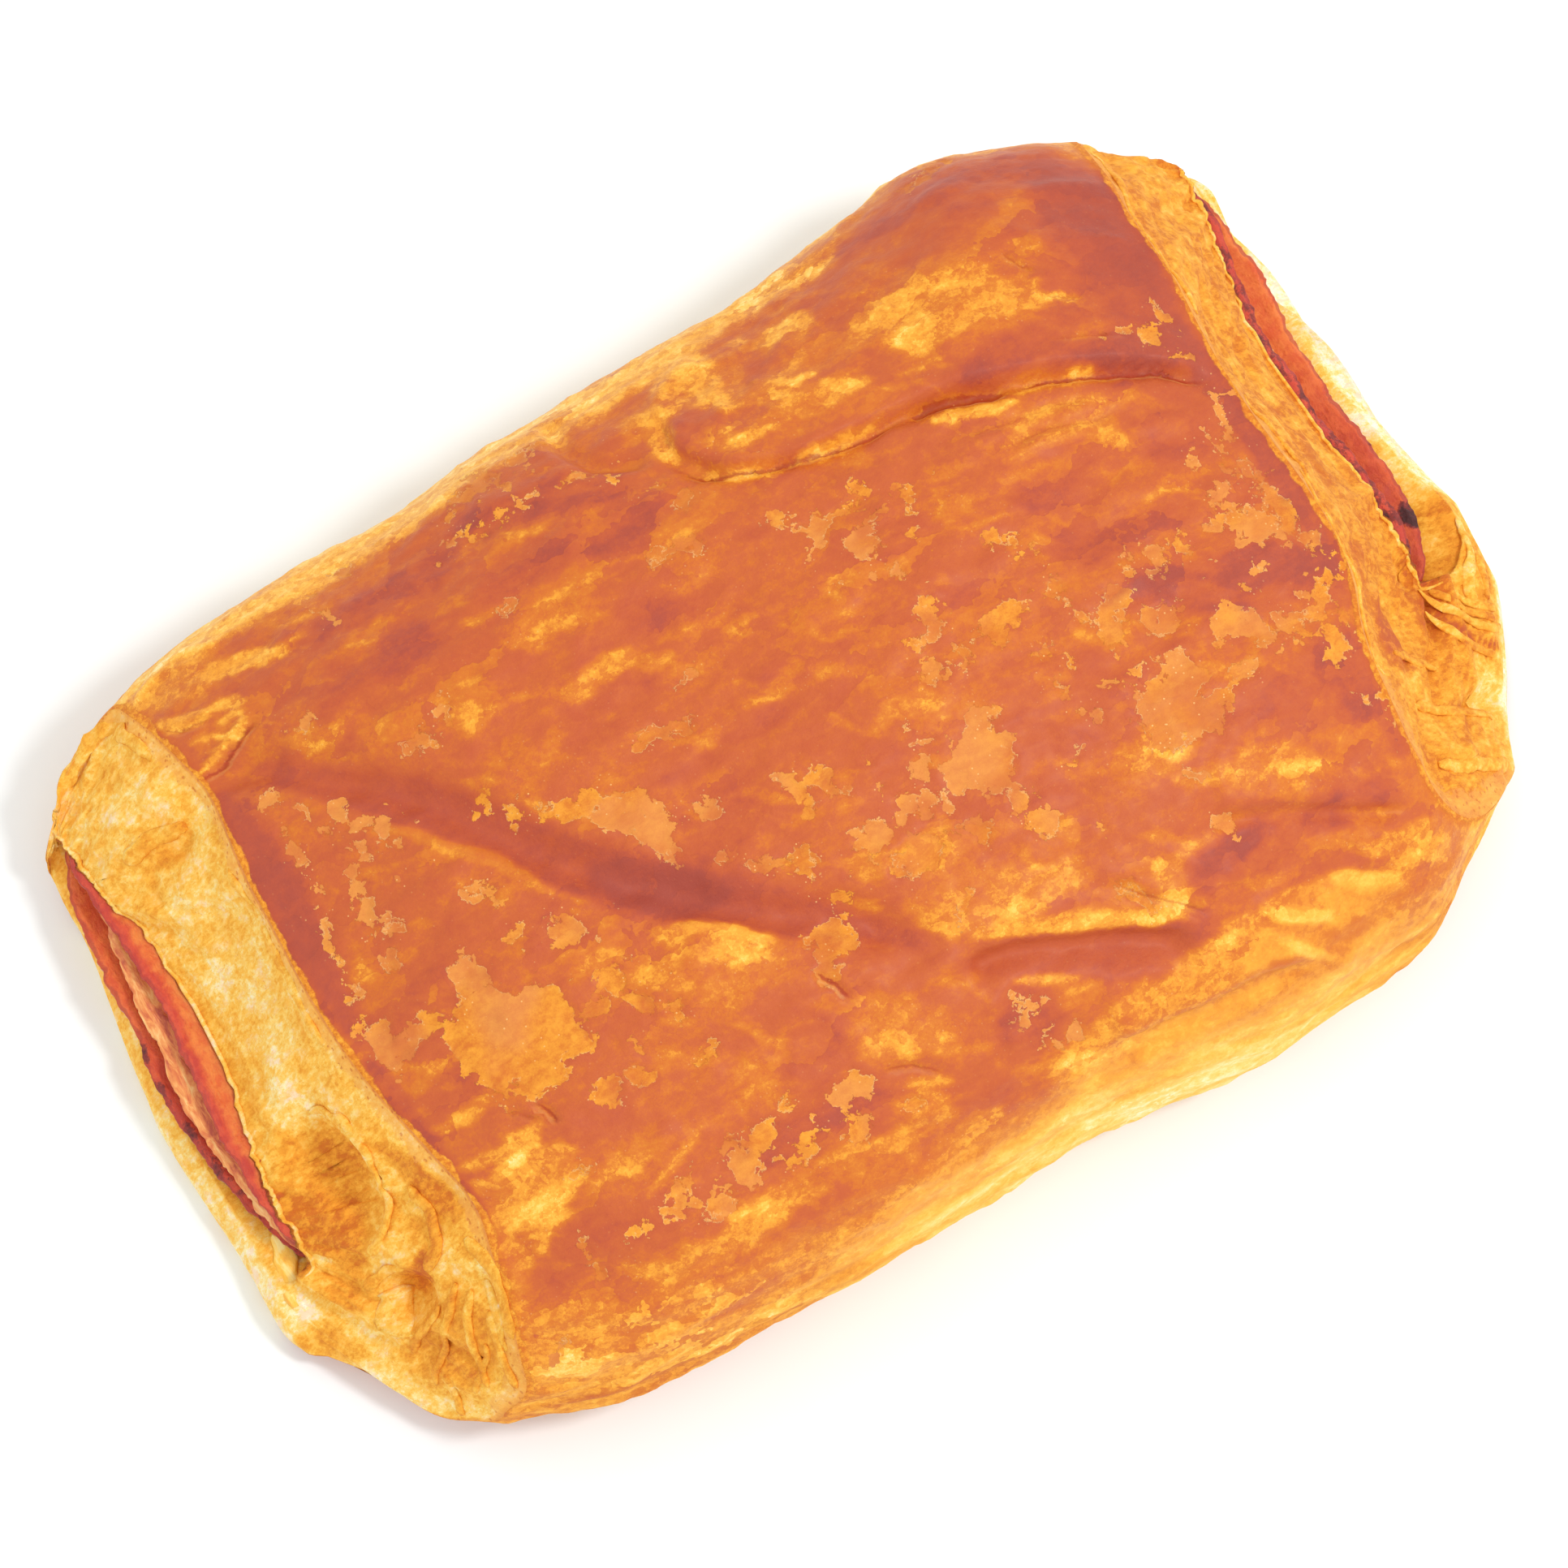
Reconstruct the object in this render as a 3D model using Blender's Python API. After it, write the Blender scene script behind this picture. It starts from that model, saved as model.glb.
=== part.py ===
"""Ham and cheese pastry: one sheet of puff pastry folded round two slices of ham with cheese between
them, open at both ends. X runs along the length and Y across it, +Z is up, and the origin lies under
the middle, on the surface that the pastry rests on. Sizes below are millimetres, scaled to metres
where a mesh is made."""

import math

import bmesh
import bpy
import numpy as np

MM = 0.001
PLACING = (-0.8, 0.5)    # moves the middle of the baked outline, lips included, over the origin

# ---- the sleeve of pastry, in millimetres
BASE_TUCK = 1.8          # how far the curve of the underside runs below the flat base
WIDEST_HEIGHT = 12.0     # height at which the long sides bulge furthest
DOME_POWER = 0.80        # 1 is an ellipse, smaller is squarer
UNDERSIDE_POWER = 0.62
LIP_ROUND = 1.0          # how far the cut edge of the bottom layer bulges
WALL_PUFF = 1.6          # how far the cut ends of the top layer bulge

# half width towards the front (-Y) and the back (+Y), and the crown's height, along X
NEAR_SIDE = [(-68, 22), (-65, 25), (-62, 27), (-60, 30), (-58, 34), (-54, 37), (-48, 39.6), (-36, 42.4),
             (-26, 43), (0, 42.4), (12, 42.6), (24, 44.2), (36, 42.7), (42, 42), (48, 38), (54, 34),
             (59, 31), (63, 26.5), (67, 20)]
FAR_SIDE = [(-66, 25), (-62, 29), (-58, 32.2), (-54, 34.6), (-48, 37), (-36, 37.9), (-24, 37.7),
            (-12, 38.5), (0, 39.5), (18, 40.3), (26, 41.6), (36, 42.6), (44, 40.4), (50, 38.2), (56, 35.4),
            (61, 33), (66, 27)]
CROWN = [(-66, 25), (-49, 27.3), (-34, 31.6), (-14, 34.2), (6, 35.2), (26, 34.4), (40, 32.6), (50, 30),
         (66, 26)]

# X of the cut edges along Y: the glazed top, the bottom layer's lip, and the top layer over the filling
ROOF_EDGE = {-1: [(-40, -50.2), (-34, -48.2), (-28, -46.8), (-24, -46.1), (-17, -47.3), (-10, -48.7),
                  (0, -49.4), (10, -49.2), (22, -48.4), (28, -49.8), (34, -51.2), (40, -52)],
             1: [(-40, 44.5), (-33, 45.7), (-24, 45.9), (-18, 46.8), (-14, 48.5), (-8, 49.2), (0, 48.9),
                 (10, 48.6), (19, 49.1), (26, 49.3), (32, 50.2), (40, 51)]}
LIP_EDGE = {-1: [(-38, -58.5), (-34, -59.5), (-29, -61.4), (-24, -65), (-20, -65), (-10, -65.2), (-3, -65.2),
                 (3, -63.4), (14, -62.6), (24, -62.7), (31, -62), (38, -57)],
            1: [(-34, 56.5), (-29, 58.8), (-25.5, 61), (-22, 65), (-18, 65.4), (-11, 66.2), (-7, 66.9),
                (-3, 65.6), (3, 63.4), (12, 63.8), (20, 62.6), (33, 62.6), (38, 57.5)]}
SLIT_EDGE = {-1: [(-18, -60.6), (-11, -60.9), (-3, -59), (7, -57.8), (16, -58.8), (23, -61), (30, -61.8)],
             1: [(-14, 58), (-6, 57.8), (2.5, 57.9), (9, 57.6), (18, 57.9), (26, 59.6), (33, 60.2)]}
SLIT_SETBACK = 1.3       # how far the inner edge of the lip lies behind its outer edge
# how the cut edge turns from the roof to the lip at each corner, as heights on the section (1 the
# crown, 0 the widest height, -1 the base), keyed by end and side (-1 front, 1 back)
CORNER_TURN = {(-1, -1): (0.35, -0.62), (-1, 1): (0.45, -0.35), (1, -1): (0.66, -0.25), (1, 1): (0.35, -0.45)}

# ---- the filling, from the bottom up
FILLING_HEIGHT = 8.6     # middle of the filling above the base
FILLING_WAVE = (0.8, 27, 17, 11)         # height, lengths along X and Y, and seed
FILLING_SAG = 0.0007                     # drop of the filling's sides, per square millimetre
SLICE_GAP = 0.35         # clearance between neighbouring slices
TUNNEL_GAP = 0.6         # clearance between the filling and the pastry above and below it
HAM_THICKNESS, CHEESE_THICKNESS = 1.5, 1.6
FILLING_SHIFT, FILLING_SKEW = 7.6, 0.036 # the filling lies nearer the back, and not quite square
FILLING_REACH = 60                       # X of its ends, on average
FILLING_HALF_WIDTH = 22.3
TUNNEL_HALF_WIDTH = 23.1
TUNNEL_POWER, TUNNEL_SIDE_POWER = 0.12, 0.22
EDGE_THINNING = 0.5      # how much thinner the slices are along their sides
SLICE_CORNER = 1.6       # how far the corners of a slice are rounded back
SLICE_WAVER, SLICE_WAVE = 0.35, 4.0      # unevenness of a slice's cut end and its length
# X of the ends of the slices along Y
HAM_LOWER_END = {-1: [(-17, -60.7), (-11, -61.9), (-6, -63.2), (-2, -64.3), (3, -65.7), (8, -64.8),
                      (16, -63.7), (23, -62.8), (30, -62.2)],
                 1: [(-14, 59.5), (-8, 61.2), (2, 61.7), (11, 61.9), (20, 61.7), (30, 61.6), (34, 61)]}
CHEESE_END = {-1: [(-17, -60.2), (-11, -61.3), (-3, -61.6), (7, -61.6), (16, -61.5), (23, -61.9),
                   (30, -61.8)],
              1: [(-14, 58.2), (-6, 58.4), (9, 58.4), (18, 58.6), (30, 60)]}
HAM_UPPER_END = {-1: [(-17, -60.6), (-11, -61.6), (-3, -60.3), (7, -59.4), (16, -60.2), (23, -61.8),
                      (30, -62.2)],
                 1: [(-14, 58.4), (-6, 58.6), (9, 58.4), (18, 58.8), (26, 60.3), (33, 60.9)]}

# ---- mesh sizes of the modelled form, before the Decimate modifier thins them
BODY_ROWS, WALL_ROWS, TUNNEL_ROWS, LOOP_POINTS = 150, 14, 10, 190
SLICE_ROWS, SLICE_COLUMNS = 64, 34
PASTRY_TRIANGLES, SLICE_TRIANGLES = 10200, 560

# ---- creases of the top: points along each in X and Y, half width and depth of the valley, and the
# ledge beside it: its height, how far it runs back and its side (1 left of the path, -1 right)
CREASES = {
    "fold_line": dict(path=[(2.8, 31.6), (1.7, 25.3), (4.5, 21), (11.9, 18.6), (19.1, 18.1), (26.1, 17.3),
                            (34.6, 14.6), (42.6, 11.1), (48.5, 7.5)],
                      half_width=0.8, depth=0.5, ledge=1.1, run=8.0, side=1),
    "long_valley": dict(path=[(-50, 23), (-44, 20.5), (-40, 17.5), (-32.5, 9.2), (-27.4, 1.2), (-21.7, -6.2),
                              (-14.4, -13), (-6, -19.5), (0.6, -26.1)],
                        half_width=2.4, depth=1.5, ledge=0.5, run=4.0, side=-1),
    "short_valley": dict(path=[(0.5, -27.8), (5.2, -28.4), (11.8, -30.9), (20.2, -34.9)],
                         half_width=1.6, depth=1.2, ledge=0.5, run=3.0, side=1),
    "corner_fold": dict(path=[(26, -27), (32, -29), (38, -32), (43, -34)],
                        half_width=0.9, depth=0.5, ledge=0.6, run=3.5, side=1),
    "flank_fold": dict(path=[(12, -38.5), (20, -38.8), (28, -38.6), (35, -37.4)],
                       half_width=1.0, depth=0.5, ledge=0.8, run=4.0, side=1),
    "curl": dict(path=[(-5.5, 36), (-6, 32), (-4.5, 28.5), (0, 26)],
                 half_width=1.0, depth=0.6, ledge=0.5, run=3.5, side=-1),
}

# places where the top skin flaked off, as X, Y, length, width and the turn of the length from X
FLAKES = [(-36, -13, 11, 9, 30), (-44.6, -8.5, 6.5, 4.5, -20), (10.2, -11.3, 7, 5.5, 40),
          (0, -15.5, 7, 4, 10), (42, -5.5, 7, 4, -15), (36.5, -13, 5, 3, 0), (30, -17, 8, 6, 30),
          (13, 10.5, 4.5, 3, 50), (-26.5, -14.4, 6, 3, 30), (-11, 3.5, 7, 3, 15), (-14, -32, 6, 4, 0),
          (31, -9.6, 4, 3, 10)]
FLAKE_DEPTH = 0.3

HUMPS = [((38, 29), 12, 2.2), ((-20, 24), 14, 0.6), ((12, 2), 16, 0.8), ((-36, -24), 9, 0.6),
         ((31, -18), 10, 0.8), ((-11, 31), 7, 0.9)]       # centre, radius and height of swells in the top

# unevenness, as height, length along X, length round the section and seed
LUMPS = [(0.5, 17, 13, 31), (0.3, 8.5, 6.2, 32)]
WRINKLES, GLAZED_SHARE = (0.3, 6.5, 2.4, 33), 0.55        # the glaze fills nearly half of each wrinkle
BLISTERS, BLISTER_LEVEL = (0.5, 4.2, 3.6, 34), 0.25       # only what rises past the level shows
CUT_WAVER = (0.25, 0.32, 3.3, 5)                          # lengths here are in radians and ends

# a cut end: its leaves of dough and its lumps, with lengths as shares of the way down the wall
LEAVES, LEAF_HEIGHT, LEAF_DRIFT = 7, 0.3, (0.35, 9, 0.33, 41)
LEAF_PATCHES = (1.0, 14, 0.5, 47)
END_LUMPS = [(0.6, 7, 0.45, 43), (0.3, 3.1, 0.17, 45)]

# hollows (and swells, where the depth is below 0) in the cut ends, keyed by end (-1 left, 1 right):
# Y, height, length along Y, height of the hollow and its depth
WALL_POCKETS = {-1: [(-12.5, 17.5, 16, 10, 2.3), (-25.5, 14.5, 6.5, 8, 3.4), (-30, 12, 4, 7, 1.8),
                     (24, 17, 12, 14, -1.0), (8, 18, 26, 14, 0.5)],
                1: [(10, 21, 22, 10, 0.7), (-16, 17, 9, 8, 0.9), (-25.5, 10, 2.6, 12, 1.9),
                    (-11.5, 12, 6, 5, 1.0)]}


def smooth_curve(points, x):
    """A smooth curve through a few hand-set points, read at x (Catmull-Rom in its cubic Hermite form)."""
    px, py = np.array(points, float).T
    slope = np.gradient(py, px)
    i = np.clip(np.searchsorted(px, x) - 1, 0, len(px) - 2)
    step = px[i + 1] - px[i]
    t = np.clip((x - px[i]) / step, 0, 1)
    return ((2 * t**3 - 3 * t**2 + 1) * py[i] + (t**3 - 2 * t**2 + t) * step * slope[i]
            + (3 * t**2 - 2 * t**3) * py[i + 1] + (t**3 - t**2) * step * slope[i + 1])


def ramp(low, high, x):
    """0 below low, 1 above high and an easy curve between. Low may be the larger of the two."""
    t = np.clip((x - low) / (high - low), 0, 1)
    return t * t * (3 - 2 * t)


def noise(x, y, seed):
    """Gradient noise of about -1 to 1 with one swell to a unit, the same on every run."""
    side = 64
    angles = np.random.default_rng(seed).uniform(0, 2 * math.pi, (side, side))
    cell_x, cell_y = np.floor(x).astype(int), np.floor(y).astype(int)
    in_x, in_y = x - cell_x, y - cell_y

    def corner(right, up):
        angle = angles[(cell_x + right) % side, (cell_y + up) % side]
        return np.cos(angle) * (in_x - right) + np.sin(angle) * (in_y - up)

    blend_x, blend_y = ramp(0, 1, in_x), ramp(0, 1, in_y)
    low = corner(0, 0) * (1 - blend_x) + corner(1, 0) * blend_x
    high = corner(0, 1) * (1 - blend_x) + corner(1, 1) * blend_x
    return 1.5 * (low * (1 - blend_y) + high * blend_y)


def uneven(layer, x, y, end=0):
    """One layer of unevenness, drawn differently at each cut end."""
    height, length_x, length_y, seed = layer
    return height * noise(x / length_x, y / length_y, seed + end)


def signed_power(value, power):
    return np.sign(value) * np.abs(value) ** power


def section(x, angle):
    """Y and Z of the pastry's outside at x. The angle runs round the section from the middle of the
    base (0) by the near side (a quarter turn) and the crown (a half turn) to the far side."""
    side, up = np.sin(angle), -np.cos(angle)
    half_width = np.where(side > 0, smooth_curve(NEAR_SIDE, x), smooth_curve(FAR_SIDE, x))
    y = -half_width * signed_power(side, np.where(up > 0, DOME_POWER, UNDERSIDE_POWER))
    crown = smooth_curve(CROWN, x)
    top = WIDEST_HEIGHT + (crown - WIDEST_HEIGHT) * np.abs(up) ** DOME_POWER
    under = WIDEST_HEIGHT - (WIDEST_HEIGHT + BASE_TUCK) * np.abs(up) ** UNDERSIDE_POWER
    return y, np.maximum(np.where(up > 0, top, under), 0.0)


def loop_angles():
    """Angles that space the loop's points evenly over the top, and three times as wide underneath."""
    fine = np.linspace(0, 2 * math.pi, 4001)
    y, z = section(np.zeros_like(fine), fine)
    weight = np.where(-np.cos(fine) > -0.55, 1.0, 0.35)
    steps = np.hypot(np.diff(y), np.diff(z)) * 0.5 * (weight[1:] + weight[:-1])
    along = np.concatenate([[0], np.cumsum(steps)])
    return np.interp(np.linspace(0, along[-1], LOOP_POINTS, endpoint=False), along, fine)


def cut_edge(end, angle):
    """X of the outside's cut edge: the glazed top ends at its own edge, the bottom layer at its lip."""
    up = -np.cos(angle)
    front, back = (np.clip((start - up) / (start - stop), 0, 1)
                   for start, stop in (CORNER_TURN[end, -1], CORNER_TURN[end, 1]))
    down = np.where(np.sin(angle) > 0, ramp(0, 1, front), ramp(0, 1, back))
    x = np.full_like(angle, 55.0 * end)
    for _ in range(12):                    # the edge moves along Y as it moves along X, so it settles
        y, _ = section(x, angle)
        roof, lip = smooth_curve(ROOF_EDGE[end], y), smooth_curve(LIP_EDGE[end], y)
        x = 0.5 * (x + roof + (lip - roof) * down)
    return x + uneven(CUT_WAVER, angle, np.full_like(angle, 11.0 * end))


def filling_middle(x, y):
    """Height of the middle of the filling, which every slice and the tunnel round them follow."""
    return FILLING_HEIGHT + uneven(FILLING_WAVE, x, y) - FILLING_SAG * y * y


def filling_centre(x):
    return FILLING_SHIFT + FILLING_SKEW * x


def slit(end, angle):
    """The mouth of the tunnel: the lip under the filling reaches out further than the layer over it."""
    up = -np.cos(angle)
    across = -signed_power(np.sin(angle), TUNNEL_SIDE_POWER)
    y = filling_centre(FILLING_REACH * end) + TUNNEL_HALF_WIDTH * across
    under = smooth_curve(LIP_EDGE[end], y) - SLIT_SETBACK * end
    x = under + (smooth_curve(SLIT_EDGE[end], y) - under) * ramp(-0.5, 0.5, up)
    return x, y, tunnel_height(x, y, up)


def thinning(x, y):
    """1 over most of the filling, less towards its sides, where the pastry pinches it."""
    across = np.clip((y - filling_centre(x)) / FILLING_HALF_WIDTH, -1, 1)
    return 1 - EDGE_THINNING * across**4


def tunnel_height(x, y, up):
    half = (HAM_THICKNESS + 0.5 * CHEESE_THICKNESS) * thinning(x, y) + SLICE_GAP + TUNNEL_GAP
    return filling_middle(x, y) + half * signed_power(up, TUNNEL_POWER)


def nearest_on_path(x, y, path):
    """Distance to a path of straight runs, + on its left, and how far along it the nearest point is."""
    best = np.full(np.shape(x), 1e9)
    side, along = np.zeros(np.shape(x)), np.zeros(np.shape(x))
    done = 0.0
    for (ax, ay), (bx, by) in zip(path, path[1:]):
        length = math.hypot(bx - ax, by - ay)
        t = np.clip(((x - ax) * (bx - ax) + (y - ay) * (by - ay)) / length**2, 0, 1)
        distance = np.hypot(x - ax - t * (bx - ax), y - ay - t * (by - ay))
        nearer = distance < best
        best = np.where(nearer, distance, best)
        side = np.where(nearer, np.sign((bx - ax) * (y - ay) - (by - ay) * (x - ax)), side)
        along = np.where(nearer, done + t * length, along)
        done += length
    return best * side, along / done


def crease_relief(x, y):
    """Valleys with a ledge beside them, which die out at both ends."""
    lift = np.zeros(np.shape(x))
    for crease in CREASES.values():
        distance, along = nearest_on_path(x, y, crease["path"])
        distance = distance * crease["side"]
        fade = ramp(0, 0.08, along) * ramp(1, 0.88, along)
        valley = np.exp(-((distance / crease["half_width"]) ** 2))
        rise = ramp(0.2, 0.2 + crease["half_width"], distance)
        ledge = rise * np.exp(-((np.maximum(distance, 0) / crease["run"]) ** 2))
        lift += fade * (crease["ledge"] * ledge - crease["depth"] * valley)
    return lift


def flake_relief(x, y):
    """Shallow steps down where a flake of the top skin is missing, with wandering edges."""
    lift = np.zeros(np.shape(x))
    edge = 0.45 * noise(x / 2.2, y / 2.2, 21)
    for cx, cy, length, width, turn in FLAKES:
        c, s = math.cos(math.radians(turn)), math.sin(math.radians(turn))
        along, across = (x - cx) * c + (y - cy) * s, (y - cy) * c - (x - cx) * s
        inside = 1 - np.hypot(along / (length / 2), across / (width / 2)) + edge
        lift = np.minimum(lift, -FLAKE_DEPTH * ramp(0.0, 0.16, inside))
    return lift


def skin_relief(x, y, z, around):
    """How far the outside stands proud of the plain form; around is the length round the section."""
    over_base = ramp(0.4, 4.0, z)
    top = ramp(WIDEST_HEIGHT + 2, WIDEST_HEIGHT + 9, z)
    swells = sum(height * np.exp(-(((x - cx) ** 2 + (y - cy) ** 2) / radius**2))
                 for (cx, cy), radius, height in HUMPS)
    lumps = sum(uneven(layer, x, around) for layer in LUMPS)
    wrinkles = uneven(WRINKLES, x, around) * (1 + (GLAZED_SHARE - 1) * top)
    blisters = np.maximum(uneven(BLISTERS, x, around) - BLISTERS[0] * BLISTER_LEVEL, 0)
    on_top = swells + crease_relief(x, y) + flake_relief(x, y)
    return over_base * (lumps + wrinkles + blisters) + top * on_top


def wall_relief(end, y, z, down, around):
    """Relief of a cut end: leaves of dough that fan out, and hollows where they came apart."""
    middle = ramp(0, 0.12, down) * ramp(1, 0.9, down)
    leaves = LEAF_HEIGHT * np.sin(2 * math.pi * (down * LEAVES + uneven(LEAF_DRIFT, around, down, end)))
    lift = leaves * ramp(0.5, -0.4, uneven(LEAF_PATCHES, around, down, end))
    for layer in END_LUMPS:
        lift = lift + uneven(layer, around, down, end)
    for cy, cz, length, height, depth in WALL_POCKETS[end]:
        span = np.hypot((y - cy) / (length / 2), (z - cz) / (height / 2))
        lift = lift - depth * ramp(1.0, 0.45, span)
    return middle * lift


def grid_normals(points):
    """Unit normals of a grid of points that closes on itself along its second axis."""
    along = np.gradient(points, axis=0)
    round_ = np.roll(points, -1, axis=1) - np.roll(points, 1, axis=1)
    normal = np.cross(along, round_)
    return normal / np.maximum(np.linalg.norm(normal, axis=2, keepdims=True), 1e-9)


def body_rows(angle, around):
    """The outside, from the left cut edge to the right one."""
    left, right = cut_edge(-1, angle), cut_edge(1, angle)
    x = left + (right - left) * np.linspace(0, 1, BODY_ROWS)[:, None]
    y, z = section(x, np.broadcast_to(angle, x.shape))
    points = np.stack([x, y, z], 2)
    lift = skin_relief(x, y, z, np.broadcast_to(around, x.shape))
    return np.where(z[..., None] <= 0, points, points + grid_normals(points) * lift[..., None])


def wall_rows(end, angle, around, outer, mouth):
    """A cut end, from its outer edge to the mouth of the tunnel."""
    down = np.linspace(0, 1, WALL_ROWS + 2)[1:-1, None]
    up = -np.cos(angle)
    top, bottom = ramp(-0.1, 0.4, up), ramp(0.1, -0.6, up)
    out = down ** (1 + 0.25 * top)                       # the top layer drops first, then runs out
    sink = 1 - (1 - down) ** (1 + 0.35 * top)
    x = outer[:, 0] + (mouth[:, 0] - outer[:, 0]) * out
    y = outer[:, 1] + (mouth[:, 1] - outer[:, 1]) * down
    z = outer[:, 2] + (mouth[:, 2] - outer[:, 2]) * sink
    x += end * np.sin(math.pi * down) * (WALL_PUFF * 0.6 * top + LIP_ROUND * bottom)
    z += np.sin(math.pi * down) * WALL_PUFF * 0.5 * top
    points = np.stack([x, y, z], 2)
    lift = wall_relief(end, y, z, np.broadcast_to(down, x.shape), np.broadcast_to(around, x.shape))
    lift *= ramp(0.8, 3.5, z) * (0.25 + 0.75 * ramp(-0.5, 0.2, up))
    return points + end * grid_normals(points) * lift[..., None]


def tunnel_rows(angle, left, right):
    """The inside that lies against the filling, from the left mouth to the right one."""
    share = np.linspace(0, 1, TUNNEL_ROWS + 2)[1:-1, None]
    x = left[:, 0] + (right[:, 0] - left[:, 0]) * share
    y = left[:, 1] + (right[:, 1] - left[:, 1]) * share
    return np.stack([x, y, tunnel_height(x, y, np.broadcast_to(-np.cos(angle), x.shape))], 2)


def pastry_points():
    """Every loop of the sleeve in order: outside, right end, tunnel back to the left, left end."""
    angle = loop_angles()
    y, z = section(np.zeros_like(angle), angle)
    steps = np.hypot(np.roll(y, -1) - y, np.roll(z, -1) - z)
    around = np.concatenate([[0], np.cumsum(steps)[:-1]])
    body = body_rows(angle, around)
    left, right = np.stack(slit(-1, angle), 1), np.stack(slit(1, angle), 1)
    right_wall = wall_rows(1, angle, around, body[-1], right)
    left_wall = wall_rows(-1, angle, around, body[0], left)
    tunnel = tunnel_rows(angle, left, right)[::-1]
    return np.concatenate([body, right_wall, right[None], tunnel, left[None], left_wall[::-1]])


def slice_points(low, high, clearance, ends, seed):
    """Bottom and top grids of a slice whose faces lie low and high above the filling's middle, less
    where it thins, and then moved away from it by the clearance."""
    across = np.linspace(-1, 1, SLICE_COLUMNS)[None, :]
    share = np.linspace(0, 1, SLICE_ROWS)[:, None]
    edge = []
    for end in (-1, 1):
        y = filling_centre(FILLING_REACH * end) + FILLING_HALF_WIDTH * across
        waver = uneven((SLICE_WAVER, SLICE_WAVE, 1, seed), y, np.zeros_like(y), end)
        edge.append(smooth_curve(ends[end], y) + waver - end * SLICE_CORNER * np.abs(across) ** 8)
    x = edge[0] + (edge[1] - edge[0]) * share
    y = filling_centre(x) + FILLING_HALF_WIDTH * across
    middle, thin = filling_middle(x, y), thinning(x, y)
    return [np.stack([x, y, middle + level * thin + clearance], 2) for level in (low, high)]


def material(name, colour, roughness):
    made = bpy.data.materials.new(name)
    made.use_nodes = True
    shader = made.node_tree.nodes["Principled BSDF"]
    shader.inputs["Base Color"].default_value = (*colour, 1)
    shader.inputs["Roughness"].default_value = roughness
    return made


def add_piece(name, mesh_data, finish, triangles, parent):
    """An object from a bmesh, facing outwards and thinned to about that many triangles."""
    bmesh.ops.triangulate(mesh_data, faces=mesh_data.faces)
    if mesh_data.calc_volume(signed=True) < 0:
        bmesh.ops.reverse_faces(mesh_data, faces=mesh_data.faces)
    mesh = bpy.data.meshes.new(name)
    mesh_data.to_mesh(mesh)
    mesh_data.free()
    mesh.materials.append(finish)
    piece = bpy.data.objects.new(name, mesh)
    bpy.context.scene.collection.objects.link(piece)
    piece.parent = parent
    if len(mesh.polygons) > triangles:
        thin = piece.modifiers.new("Thin", "DECIMATE")
        thin.ratio = triangles / len(mesh.polygons)
        thin.use_collapse_triangulate = True
    mesh.shade_smooth()
    mesh.set_sharp_from_angle(angle=math.radians(50))
    return piece


def add_pastry(finish, parent):
    """The folded sheet, as loops that close on themselves both ways."""
    points = pastry_points() * MM
    rows, columns = points.shape[:2]
    sleeve = bmesh.new()
    corners = [[sleeve.verts.new(p) for p in row] for row in points]
    for i in range(rows):
        for j in range(columns):
            after, beside = (i + 1) % rows, (j + 1) % columns
            sleeve.faces.new((corners[i][j], corners[i][beside], corners[after][beside], corners[after][j]))
    return add_piece("pastry", sleeve, finish, PASTRY_TRIANGLES, parent)


def add_slice(name, grids, finish, parent):
    """One flat slice, closed all round."""
    below, above = (grid * MM for grid in grids)
    rows, columns = below.shape[:2]
    slab = bmesh.new()
    under = [[slab.verts.new(p) for p in row] for row in below]
    over = [[slab.verts.new(p) for p in row] for row in above]
    for i in range(rows - 1):
        for j in range(columns - 1):
            slab.faces.new((over[i][j], over[i + 1][j], over[i + 1][j + 1], over[i][j + 1]))
            slab.faces.new((under[i][j], under[i][j + 1], under[i + 1][j + 1], under[i + 1][j]))
    rim = [(i, 0) for i in range(rows)] + [(rows - 1, j) for j in range(1, columns)]
    rim += [(i, columns - 1) for i in range(rows - 2, -1, -1)] + [(0, j) for j in range(columns - 2, 0, -1)]
    for (a, b), (c, d) in zip(rim, rim[1:] + rim[:1]):
        slab.faces.new((under[a][b], under[c][d], over[c][d], over[a][b]))
    return add_piece(name, slab, finish, SLICE_TRIANGLES, parent)


def main():
    for thing in list(bpy.data.objects):
        bpy.data.objects.remove(thing)
    centre = bpy.data.objects.new("centre", None)
    bpy.context.scene.collection.objects.link(centre)
    centre.location = (PLACING[0] * MM, PLACING[1] * MM, 0)
    crust = material("baked_crust", (0.72, 0.26, 0.06), 0.45)
    ham = material("cooked_ham", (0.62, 0.12, 0.06), 0.4)
    cheese = material("melted_cheese", (0.86, 0.45, 0.12), 0.35)

    half_cheese = 0.5 * CHEESE_THICKNESS
    ham_face = half_cheese + HAM_THICKNESS
    add_pastry(crust, centre)
    slices = {"ham_lower": (-ham_face, -half_cheese, -SLICE_GAP, HAM_LOWER_END, 61, ham),
              "cheese": (-half_cheese, half_cheese, 0, CHEESE_END, 62, cheese),
              "ham_upper": (half_cheese, ham_face, SLICE_GAP, HAM_UPPER_END, 63, ham)}
    for name, (low, high, clearance, ends, seed, finish) in slices.items():
        add_slice(name, slice_points(low, high, clearance, ends, seed), finish, centre)


main()
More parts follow.
